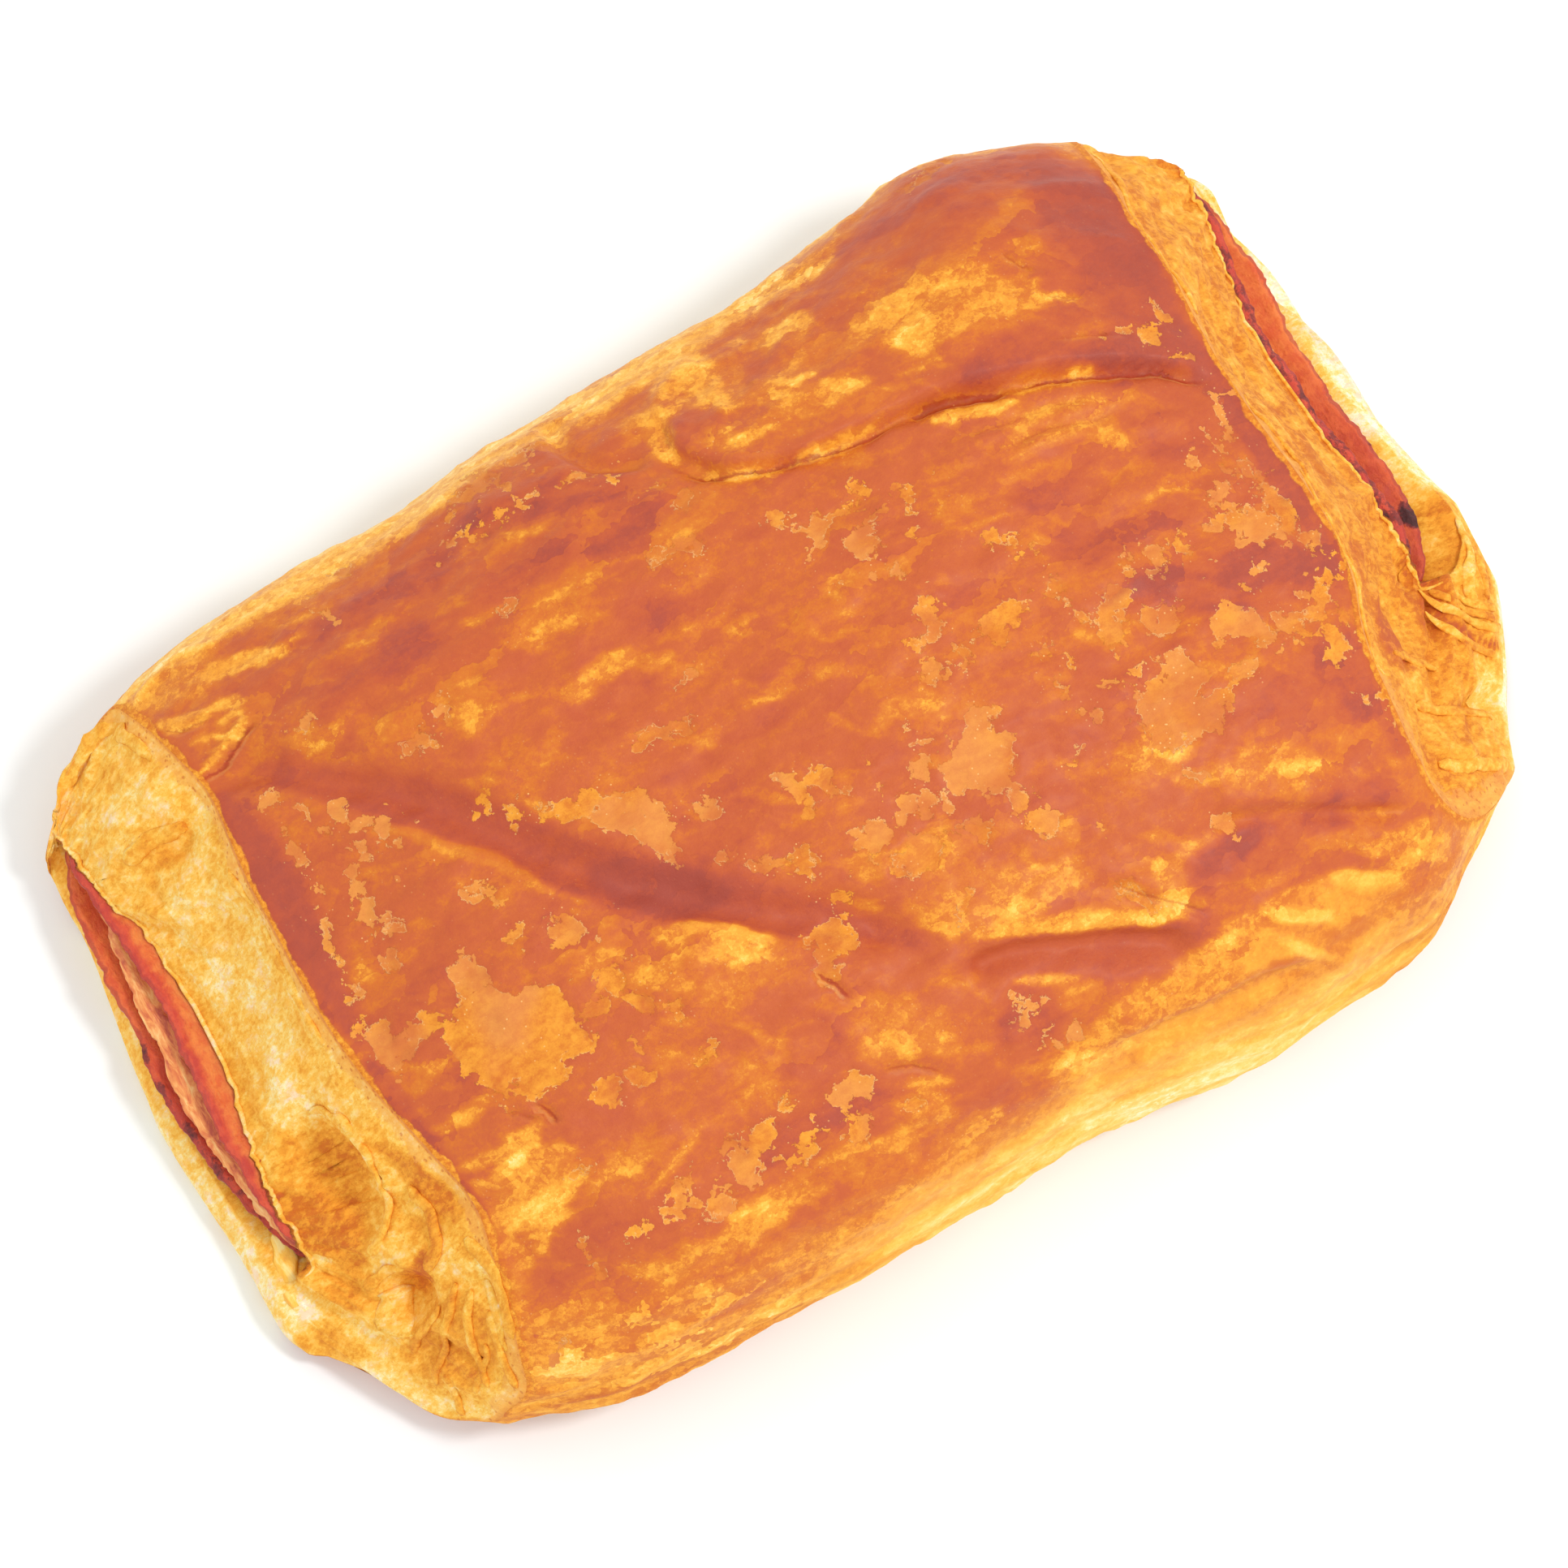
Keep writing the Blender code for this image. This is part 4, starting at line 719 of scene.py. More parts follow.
    (43.7, 14.2, 1.5, 2.2, 0), (41.6, 15.5, 2, 0.5, -10), (46.2, 15.4, 1.4, 2.6, 0), (45.7, 11, 1, 1, 0),
    (41.5, 2.6, 0.7, 1.4, 0), (44.2, 2.4, 0.5, 1.2, -15), (45.9, 4.2, 1, 4, -10), (43.8, 0.4, 0.6, 1.2, -15),
    (47.8, 6, 1.4, 0.4, 0), (36, 38.9, 4, 1, 5), (-38.5, 21, 1.6, 1, 0),
]

# Zones where small flakes are scattered: X, Y, length, width and turn.
flakyZones = [(-38, 8, 14, 16, -40), (-30, -12, 24, 16, 0), (0, -13, 22, 14, 0), (30, -10, 30, 18, 0),
              (12, 8, 22, 16, 0), (-20, -32, 22, 7, 0), (46, -10, 5, 34, 0), (6, 22, 10, 6, -20),
              (-12, 29, 24, 8, 0), (44, 6, 6, 20, 0), (4, -33, 6, 5, 0)]
flakeEdges = {
    "wobble": [(0.7, 2.2, 2.2, 71, 4, 0.65), (0.7, 2.2, 2.2, 83, 4, 0.65)],
    "ragged": (0.26, 1.5, 1.5, 77, 3, 0.75), "outside": -2.0, "window": 2, "spread": 0.56,
    "specks": (1, 1.25, 1.25, 75, 2), "speckLevel": 1.12, "zoneShare": 0.3,
}


def aboveWidest(limits, z):
    low, high = limits
    return ramp(form["widestHeight"] + low, form["widestHeight"] + high, z)


def creaseRelief(x, y):
    lift = np.zeros(np.shape(x))
    for crease in skinShape["creases"].values():
        distance, along = nearestOnPath(x, y, crease["path"])
        distance = distance * crease["side"]
        rise = ramp(skinShape["ledgeStart"], skinShape["ledgeStart"] + crease["halfWidth"], distance)
        ledge = rise * bell(np.maximum(distance, 0), crease["run"])
        valley = bell(distance, crease["halfWidth"])
        lift += fadeEnds((0, 0.08, 0.88, 1), along) * (crease["ledge"] * ledge - crease["depth"] * valley)
    return lift


def fineLines(x, y):        # narrow cuts and torn rims of the skin
    lift = np.zeros(np.shape(x))
    wobble = uneven((0.25, 1.7, 1.7, 91), x, y)
    for lines, fade, sign in (("cuts", "cutFade", -1), ("rims", "rimFade", 1)):
        for path, halfWidth, height in skinShape[lines]:
            distance, along = nearestOnPath(x, y, path)
            lift += sign * height * fadeEnds(skinShape[fade], along) * bell(distance + wobble, halfWidth)
    return lift


def flakeField(x, y):       # mm inside the nearest flake's ragged edge, below 0 outside
    edges = flakeEdges
    wx, wy = (value + uneven(layer, x, y) for value, layer in zip((x, y), edges["wobble"]))
    field = np.full(np.shape(x), edges["outside"])
    for cx, cy, length, width, turn in flakePlaces:
        near = ((np.abs(wx - cx) < length + edges["window"])
                & (np.abs(wy - cy) < width + length + edges["window"]))
        along, across = turned(wx[near], wy[near], cx, cy, turn)
        span = np.hypot(along / (length * edges["spread"]), across / (width * edges["spread"]))
        field[near] = np.maximum(field[near], (1 - span) * min(length, width) * 0.5)
    zone = np.zeros(np.shape(x))
    for oval in flakyZones:
        zone = np.maximum(zone, ramp(1.0, 0.5, ovalSpan(x, y, *oval)))
    specks = uneven(edges["specks"], x, y) - edges["speckLevel"] + edges["zoneShare"] * zone
    specks = np.where(zone > 0.02, 1.1 * specks, edges["outside"])
    return np.maximum(field, specks) + uneven(edges["ragged"], x, y)


def bubbleRelief(x, y):
    bubbles = skinShape["bubbles"]
    (reachX, reachY), lift = bubbles["within"], np.zeros(np.shape(x))
    pick = np.random.default_rng(12)
    for _ in range(bubbles["count"]):
        cx, cy = pick.uniform(-reachX, reachX), pick.uniform(-reachY, reachY)
        radius, height = pick.uniform(*bubbles["radius"]), bubbles["height"] * pick.uniform(bubbles["least"], 1)
        near = (np.abs(x - cx) < radius) & (np.abs(y - cy) < radius)
        lift[near] += height * ramp(1, 0, np.hypot(x[near] - cx, y[near] - cy) / radius)
    return lift


def skinRelief(x, y, z, around, flakes):
    shape = skinShape
    swells = sum(height * np.exp(-(((x - cx) ** 2 + (y - cy) ** 2) / radius**2))
                 for (cx, cy), radius, height in shape["humps"])
    top = aboveWidest(shape["topFrom"], z)
    wrinkles = uneven(shape["wrinkles"], x, around) * (1 + (shape["glazedShare"] - 1) * top)
    blisters = uneven(shape["blisters"], x, around) - shape["blisters"][0] * shape["blisterLevel"]
    blisters = np.maximum(blisters, 0)
    c, s = shape["rippleTurn"]
    pulled = sum(np.exp(-(((x - cx) / reachX) ** 2 + ((y - cy) / reachY) ** 2))
                 for cx, cy, reachX, reachY in shape["ripplePlaces"])
    onTop = (swells + creaseRelief(x, y) + fineLines(x, y) + bubbleRelief(x, y)
             + uneven(shape["ripples"], x * c - y * s, x * s + y * c) * pulled
             - shape["flakeDepth"] * ramp(-0.05, 0.16, flakes))
    allRound = addLayers(0, shape["lumps"], x, around) + wrinkles + blisters
    allRound = allRound + addLayers(0, shape["small"], x, around)
    return ramp(0.4, 4.0, z) * allRound + top * onTop


def paintPatches(bake, x, y):
    wx, wy = addLayers(x, skinPaint["bendX"], x, y), addLayers(y, skinPaint["bendY"], x, y)
    for *oval, level, strength in skinPaint["patches"]:
        bake = mixInto(bake, level, strength * ramp(*skinPaint["patchEdge"], ovalSpan(wx, wy, *oval)))
    return bake


def paintStrokes(bake, x, y):
    wobble = uneven((0.35, 2.4, 2.4, 53, 3), x, y)
    for path, halfWidth, softLeft, softRight, level, strength in skinPaint["strokes"]:
        distance, along = nearestOnPath(x, y, path)
        distance = distance + wobble * min(1.0, halfWidth)
        soft = np.where(distance > 0, softLeft, softRight)
        tip = 0.2
        reach = halfWidth * (tip + (1 - tip) * fadeEnds((0, 0.3, 0.65, 1), along))
        cover = ramp(0, 1, (reach + soft - np.abs(distance)) / (1.3 * soft))
        bake = mixInto(bake, level, strength * fadeEnds((-0.001, 0.08, 0.92, 1.001), along) * cover)
    return bake


def paintFlanks(bake, x, y, z, s):
    paint, near = skinPaint, y < 0
    flank = np.where(near, smoothCurve(paint["nearFlank"], x), paint["farFlank"])
    flank = flank + uneven((0.1, 8, 3, 67, 4), x, s)
    flank = flank + 0.07 * ramp(-25, -50, x) * (y > 0)
    lowest = np.where(near, paint["flankTop"]["near"], paint["flankTop"]["far"])
    bake = mixInto(bake, flank, ramp(lowest + 9, lowest, z))
    # paler low on the near flank: partly paler dough, partly painted light on the lamp-lit near side
    bake = bake - paint["lowPaleAndLit"] * ramp(19, 13, z) * near * ramp(-45, -5, x)
    return mixInto(bake, paint["underside"] + uneven((0.08, 9, 9, 68, 3), x, y), ramp(5.5, 0.5, z))


def skinValues(x, y, z, s, lift):       # browning, share of the glazed top and how lively the pattern is
    paint, calm = skinPaint, np.zeros(np.shape(x))
    bake = paintPatches(np.full(np.shape(x), paint["start"]) + uneven(paint["drift"], x, y), x, y)
    for oval in paint["smoothAreas"]:
        calm = np.maximum(calm, ramp(1.2, 0.7, ovalSpan(x, y, *oval)))
    loud = 1 - paint["calming"] * calm
    (lengthX, lengthY), (turnC, turnS) = paint["veinSize"], paint["veinTurn"]
    veins = cloud((x * turnC - y * turnS) / lengthX,
                  (x * turnS + y * turnC) / lengthY + uneven((0.6, 6, 6, 65, 2), x, y), 63)
    bake -= paint["goldVeins"] * ramp(0.12, 0.85, veins) * loud
    bake += paint["redClouds"] * ramp(0.1, 0.8, uneven((1, 5, 3.4, 69, 3), x, y)) * loud
    bake = paintStrokes(bake, x, y) + paint["heightBrowning"] * lift * loud
    bake = paintFlanks(bake, x, y, z, s)
    return np.clip(bake, 0, 1), aboveWidest(paint["topFrom"], z), loud


def cutLines(x, y):         # signed distance to the nearest cut of the skin, and that cut's half width there
    paint = skinShape["cutPaint"]
    gap, wide = np.full(np.shape(x), paint["far"]), np.zeros(np.shape(x))
    for path, halfWidth, _ in skinShape["cuts"]:
        distance, along = nearestOnPath(x, y, path)
        nearer = np.abs(distance) < np.abs(gap)
        painted = paint["share"] * max(halfWidth - paint["inset"], paint["least"])
        painted = painted * fadeEnds(paint["fade"], along) * ramp(*paint["near"], np.abs(distance))
        wide = np.where(nearer, painted, wide)
        gap = np.where(nearer, distance, gap)
    return gap, wide


# The walls between the sheet's cut edge and the slit. Unevenness runs along the edge and down the wall.
endShape = {
    "leaves": 7, "leafHeight": 0.04, "leafDrift": (0.35, 9, 0.33, 41),
    "lumps": [(0.6, 7, 0.45, 43), (0.3, 3.1, 0.17, 45)], "fineLeaves": (0.012, 9, 0.85, 49, 3),
    "puffs": [(0.16, 3.6, 2.8, 42, 2), (0.1, 1.5, 1.4, 44, 2)],
    # Y, height, length along Y, height of the hollow and its depth
    "pockets": {
        -1: [
            (-12.5, 17.5, 16, 10, 2.3), (-25.5, 14.5, 6.5, 8, 2.4), (-30, 12, 4, 7, 0.8),
            (24, 17, 12, 14, -1), (8, 18, 26, 14, 0.5),
        ],
        1: [
            (10, 21, 22, 10, 0.7), (-16, 17, 9, 8, 0.9), (-25.5, 10, 2.6, 12, 1.9), (-11.5, 12, 6, 5, 1),
        ],
    },
    # ridges and grooves: line in space, half width, height, browning and strength of that colour; a groove's
    # darker browning is painted shade in it
    "ridges": {
        -1: [
            ([(-50.8, 18.9, 22.4), (-54, 19.4, 19.3), (-56.3, 19.6, 17), (-57, 17.5, 16), (-56.9, 15.6, 16)],
             0.7, -0.45, 0.36, 0.75),
            ([(-57.6, 22.2, 15.5), (-54.7, 21.8, 19), (-51, 20.4, 22.8)], 1.2, 0.5, 0.24, 0.5),
            ([(-54, -7.4, 16.8), (-51.8, -12.4, 22.4), (-51.3, -15.7, 21.4), (-51.6, -18.2, 19.1),
             (-52.9, -20.4, 17.6), (-55.9, -20.7, 15.1)], 0.8, 0.9, 0.25, 0.75),
            ([(-60.6, -10.2, 11.6), (-59, -12.4, 12.6), (-57.2, -15.4, 12.8)], 0.7, -0.4, 0.58, 0.6),
            ([(-58.4, -22.6, 12), (-55, -23.4, 15), (-52.4, -23, 18)], 0.8, 0.5, 0.3, 0.7),
        ],
        1: [
            ([(57.6, -14.6, 11.4), (58.3, -16.8, 11.4), (58.9, -18.7, 11), (60.2, -19.9, 7.9),
             (61.8, -20.6, 6.7), (63.6, -20.5, 5.2)], 0.42, -0.3, 0.9, 0.85),
            ([(60.8, -18.4, 8.6), (62.4, -18.8, 7)], 0.4, -0.2, 0.62, 0.7),
            ([(60.6, -21.6, 8), (62, -22.2, 6.6)], 0.4, -0.2, 0.62, 0.7),
            ([(48.5, -31.2, 20.5), (52.4, -31.8, 15), (56.3, -32.1, 9)], 0.7, -0.5, 0.52, 0.7),
            ([(48.3, -29.6, 20.5), (52.4, -30, 15), (56.3, -30.4, 9)], 1, 0.6, 0.26, 0.6),
            ([(50, 33, 24), (50.4, 20, 25), (50.2, 8, 25.6)], 0.5, -0.5, 0.56, 0.6),
            ([(51.8, 30, 22), (52, 18, 22), (51.6, 6, 22.6), (51.4, -6, 22.6)], 0.5, 0.4, 0.28, 0.6),
        ],
    },
}
endPaint = {
    # the mouth's browning is painted shade inside the tunnel
    "wall": {-1: 0.22, 1: 0.40}, "lip": {-1: 0.14, 1: 0.05}, "mouth": 0.60,
    # Y, height, length along Y, height, browning, strength
    "patches": {
        -1: [
            (29, 15, 16, 16, 0.21, 0.8), (8, 19, 22, 9, 0.17, 0.8), (18, 16.5, 4, 5, 0.25, 0.7),
            (-5, 17.6, 9, 4, 0.08, 0.75), (-12, 19, 7, 2.6, 0.16, 0.6), (-13, 15.2, 13, 7, 0.4, 0.85),
            (-17.4, 13.6, 7, 4, 0.47, 0.85), (-15, 11.6, 9, 2, 0.52, 0.6), (-18, 24, 10, 3, 0.5, 0.8),
            (-24.2, 17, 3, 5, 0.68, 0.85), (-26.6, 11.4, 5.4, 5.4, 0.2, 0.9), (-21.6, 11, 5, 4, 0.38, 0.7),
            (-31.6, 14, 9, 16, 0.4, 0.8), (-25, 23.6, 4, 2.4, 0.36, 0.8), (2, 12, 18, 2.6, 0.34, 0.6),
            (-5, 12.5, 9, 4, 0.26, 0.6), (-20, 20, 6, 4, 0.34, 0.6),
        ],
        1: [
            (-18.4, 21, 8, 6, 0.66, 0.8), (-12, 23, 8, 3, 0.55, 0.7), (-16, 12, 6, 3.6, 0.62, 0.7),
            (-25, 20, 8, 9, 0.34, 0.8), (-24.4, 8.4, 7, 5, 0.18, 0.8), (-29, 12, 6, 8, 0.34, 0.7),
            (20, 21, 16, 8, 0.36, 0.7), (2, 20, 12, 5, 0.48, 0.7), (30, 14, 10, 8, 0.32, 0.8),
        ],
    },
    "lipPatches": {
        -1: [
            (-19, 5, 7, 6, 0.1, 0.8), (-24, 6, 6, 6, 0.4, 0.6), (16, 5, 30, 6, 0.3, 0.8),
        ],
        1: [
            (-9, 6, 10, 7, 0.33, 0.9), (-15, 7, 9, 6, 0.42, 0.8), (-21, 6, 6, 6, 0.36, 0.7),
            (28, 6, 12, 8, 0.2, 0.7),
        ],
    },
    "patchEdge": (1.3, 0.6), "wobble": (0.8, 5, 3, 46, 3), "drift": (0.05, 3.4, 1.5, 48, 4),
    "mouthFrom": (0.9, 1.0),
    # how deep the porous strip under the roof reaches, and the two ends' place in the grain
    "stripDepth": {-1: 4.6, 1: 6}, "grainRow": 30.0,
}


def makeWall(end, angle, around, outer, mouth, rows):
    down = np.linspace(0, 1, rows + 2)[1:-1, None]
    up = -np.cos(angle)
    top, bottom = ramp(-0.1, 0.4, up), ramp(0.1, -0.6, up)
    x = mixInto(outer[:, 0], mouth[:, 0], down ** (1 + 0.25 * top))
    y = mixInto(outer[:, 1], mouth[:, 1], down)
    z = mixInto(outer[:, 2], mouth[:, 2], 1 - (1 - down) ** (1 + 0.35 * top))
    puffOut, puffUp = 0.6, 0.5
    x += end * np.sin(math.pi * down) * (form["wallPuff"] * puffOut * top + form["lipRound"] * bottom)
    z += np.sin(math.pi * down) * form["wallPuff"] * puffUp * top
    plain = np.stack([x, y, z], 2)
    down, around = np.broadcast_to(down, x.shape), np.broadcast_to(around, x.shape)
    leaves = down * endShape["leaves"] + uneven(endShape["leafDrift"], around, down, end)
    leaves = endShape["leafHeight"] * np.sin(2 * math.pi * leaves)
    lift = leaves * ramp(0.5, -0.4, uneven((1.0, 14, 0.5, 47), around, down, end))
    lift = addLayers(lift, endShape["lumps"], around, down, end)
    for cy, cz, length, height, depth in endShape["pockets"][end]:
        lift = lift - depth * ramp(1.08, 0.2, ovalSpan(y, z, cy, cz, length, height))
    depthDown = np.linalg.norm(plain - outer[None], axis=2)
    fine = uneven(endShape["fineLeaves"], around, depthDown, end)
    puffs = addLayers(0, endShape["puffs"], around, depthDown, end)
    lift = fadeEnds((0, 0.12, 0.9, 1), down) * (lift + fine + puffs)

    upper = ramp(-0.45, 0.1, up) * np.ones_like(x)
    level = mixInto(endPaint["lip"][end], endPaint["wall"][end], upper)
    wobble = uneven(endPaint["wobble"], around, depthDown, end)
    for kind, share in (("patches", upper), ("lipPatches", 1 - upper)):
        for *oval, browned, strength in endPaint[kind][end]:
            cover = ramp(*endPaint["patchEdge"], ovalSpan(y + wobble, z + wobble, *oval))
            level = mixInto(level, browned, share * strength * cover)
    bent = plain + wobble[..., None] * np.array((0, 0.45, 0.3))
    for line, halfWidth, height, browned, strength in endShape["ridges"][end]:
        distance, along = distanceToLine(bent, line)
        shape = fadeEnds((-0.001, 0.12, 0.88, 1.001), along) * bell(distance, halfWidth)
        lift = lift + height * shape
        # the grooves take their darker colour here as painted shade
        level = mixInto(level, browned, strength * shape)
    # painted shade: darker in the rows by the slit
    level = level + 0.1 * ramp(*endPaint["mouthFrom"], down)
    level = level + uneven(endPaint["drift"], around, depthDown, end)
    least = 0.25
    lift *= ramp(0.8, 3.5, z) * (least + (1 - least) * ramp(-0.5, 0.2, up))
    strip = ramp(-0.3, 0.1, up) * np.clip(1 - depthDown / endPaint["stripDepth"][end], 0, 1)
    return {"points": plain + end * gridNormals(plain) * lift[..., None], "bake": np.clip(level, 0, 1),
            "place": np.stack([around, depthDown, np.full_like(x, endPaint["grainRow"] * end)], 2),
            "leafy": upper, "underRoof": strip}


# Inside the mouths the roof and floor of the tunnel; the shares are how far along each row of faces lies.
tunnelShape = {
    "shares": [1, 0.994, 0.988, 0.98, 0.972, 0.962, 0.95, 0.9, 0.5,
               0.1, 0.05, 0.038, 0.028, 0.02, 0.012, 0.006, 0],
    "mouthFrom": 0.42, "relief": (0.16, 1.9, 2.4, 64, 3),
}


def makeTunnel(angle, around, leftMouth, rightMouth):
    share = np.array(tunnelShape["shares"])[:, None]
    fromMiddle = np.abs(share - 0.5)
    x, y = (mixInto(leftMouth[:, k], rightMouth[:, k], share) for k in range(2))
    up = np.broadcast_to(-np.cos(angle), x.shape)
    power = np.where(fromMiddle > tunnelShape["mouthFrom"], filling["mouthPower"], filling["tunnelPower"])
    relief = uneven(tunnelShape["relief"], x, y) * ramp(0.5, 0.497, fromMiddle)
    drop = filling["mouthDrop"] * ramp(0.49, 0.5, fromMiddle) * ramp(*filling["dropRise"], up)
    # painted shade: the tunnel is darker than the lip, most of all on its roof
    level = np.where(x < 0, endPaint["lip"][-1], endPaint["lip"][1]) + 0.1
    level = level + uneven((0.1, 3, 3, 66, 3), x, y)
    level = level + 0.22 * ramp(-1, -7, y) * (x > 0)
    return {"points": np.stack([x, y, tunnelHeight(x, y, up, power) + relief - drop], 2),
            "bake": mixInto(level, endPaint["mouth"], ramp(-0.1, 0.1, up)),
            "place": np.stack([np.broadcast_to(around, x.shape), x, 0 * x], 2),
            "leafy": np.zeros(x.shape), "underRoof": np.zeros(x.shape)}


def addMesh(name, points, faces, materials, values, faceMaterial=None):
    mesh = bpy.data.meshes.new(name)
    points = (np.asarray(points, float).reshape(-1, 3) + placing) * mm
    faces = np.asarray(faces, np.int32)
    mesh.vertices.add(len(points))
    mesh.vertices.foreach_set("co", points.astype(np.float32).ravel())
    mesh.loops.add(faces.size)
    mesh.loops.foreach_set("vertex_index", faces.ravel())
    mesh.polygons.add(len(faces))
    mesh.polygons.foreach_set("loop_start", np.arange(0, faces.size, faces.shape[1], dtype=np.int32))
    mesh.update(calc_edges=True)
    for finish in materials:
        mesh.materials.append(finish)
    if faceMaterial is not None:
        mesh.polygons.foreach_set("material_index", np.asarray(faceMaterial, np.int32))
    for key, value in values.items():
        value = np.asarray(value, np.float32)
        isVector = value.size == 3 * len(points)
        layer = mesh.attributes.new(key, "FLOAT_VECTOR" if isVector else "FLOAT", "POINT")
        layer.data.foreach_set("vector" if isVector else "value", value.ravel())
    mesh.validate()
    mesh.shade_smooth()
    made = bpy.data.objects.new(name, mesh)
    bpy.context.scene.collection.objects.link(made)
    return made


def gridFaces(rows, columns, closedRows, closedColumns, start=0):
    i, j = np.meshgrid(np.arange(rows if closedRows else rows - 1),
                       np.arange(columns if closedColumns else columns - 1), indexing="ij")
    after, beside = (i + 1) % rows, (j + 1) % columns
    return start + np.stack([i * columns + j, after * columns + j, after * columns + beside,
                             i * columns + beside], -1).reshape(-1, 4)


# Noise is scale, detail, roughness and distortion, with the scale in swells to a mm. A range is a value's low
# and high end, and what it turns into there. Amounts are shares of browning or of the bump's height.
crustLook = {
    "constants": {"Specular IOR Level": 0.2, "Coat Roughness": 0.35, "Coat IOR": 1.4},
    "streaks": (1.0, 7.0, 0.66, 0.8), "torn": (0.95, 6.0, 0.76), "grit": (3.6, 3.0, 0.7),
    "sheetPlaces": ((0.08, 2.0), (0.40, 0.56)),
    "shift": {"streaks": 0.34, "torn": 0.34, "chips": 0.12, "sheets": 0.22, "grit": 0.22},
    "mottle": (0.09, 0.5),
    # bare places where the top leaf came off, with a pale painted highlight along parts of their edges
    "bareRag": {"torn": 1.5, "chips": 0.55}, "tan": (220, 138, 76),
    "tanPlaces": ((0.09, 2.0), (0.42, 0.58, 0.05, 0.6)), "bareShows": ((0.14, 3.0), (0.38, 0.54, 0.4, 1.0)),
    "rimHighlightPlaces": ((0.45, 3.0), (0.46, 0.58)), "rimHighlightTone": (246, 204, 138),
    # cuts and cracks: dark painted shade inside them, and a pale painted highlight along one side
    "cutWide": (0.0, 0.14), "cutShadeTone": (170, 56, 30), "lipHighlightTone": (236, 182, 110),
    # the cut rim of the sheet, where the open dough begins
    "edgeSwell": ((0.3, 2.0), 1.8), "dotPlaces": ((0.3, 4.0), (0.47, 0.56)), "dotTone": (243, 190, 118),
    "grain": {"Size": 0.8, "Pits": 0.35}, "bump": {"distance": 0.0002, "strength": 0.65},
    "height": {"grain": 0.3, "bare": -0.3, "torn": 0.9, "sheets": 0.9, "edge": -0.4},
    "roughRange": (0.0, 1.0, 0.72, 0.46), "coatRange": (0.0, 1.0, 0.14, 0.03),
}


def bakedColour(n, place, bake, mottle):
    amount, size = mottle
    return n.group(bakedTone, Bake=bake, Place=place, Mottle=amount, Size=size)


def weighted(n, parts, amounts):        # the sum of each part times the amount of the same name
    total = None
    for key, part in parts.items():
        share = n.times(part, amounts[key])
        total = share if total is None else n.plus(total, share)
    return total


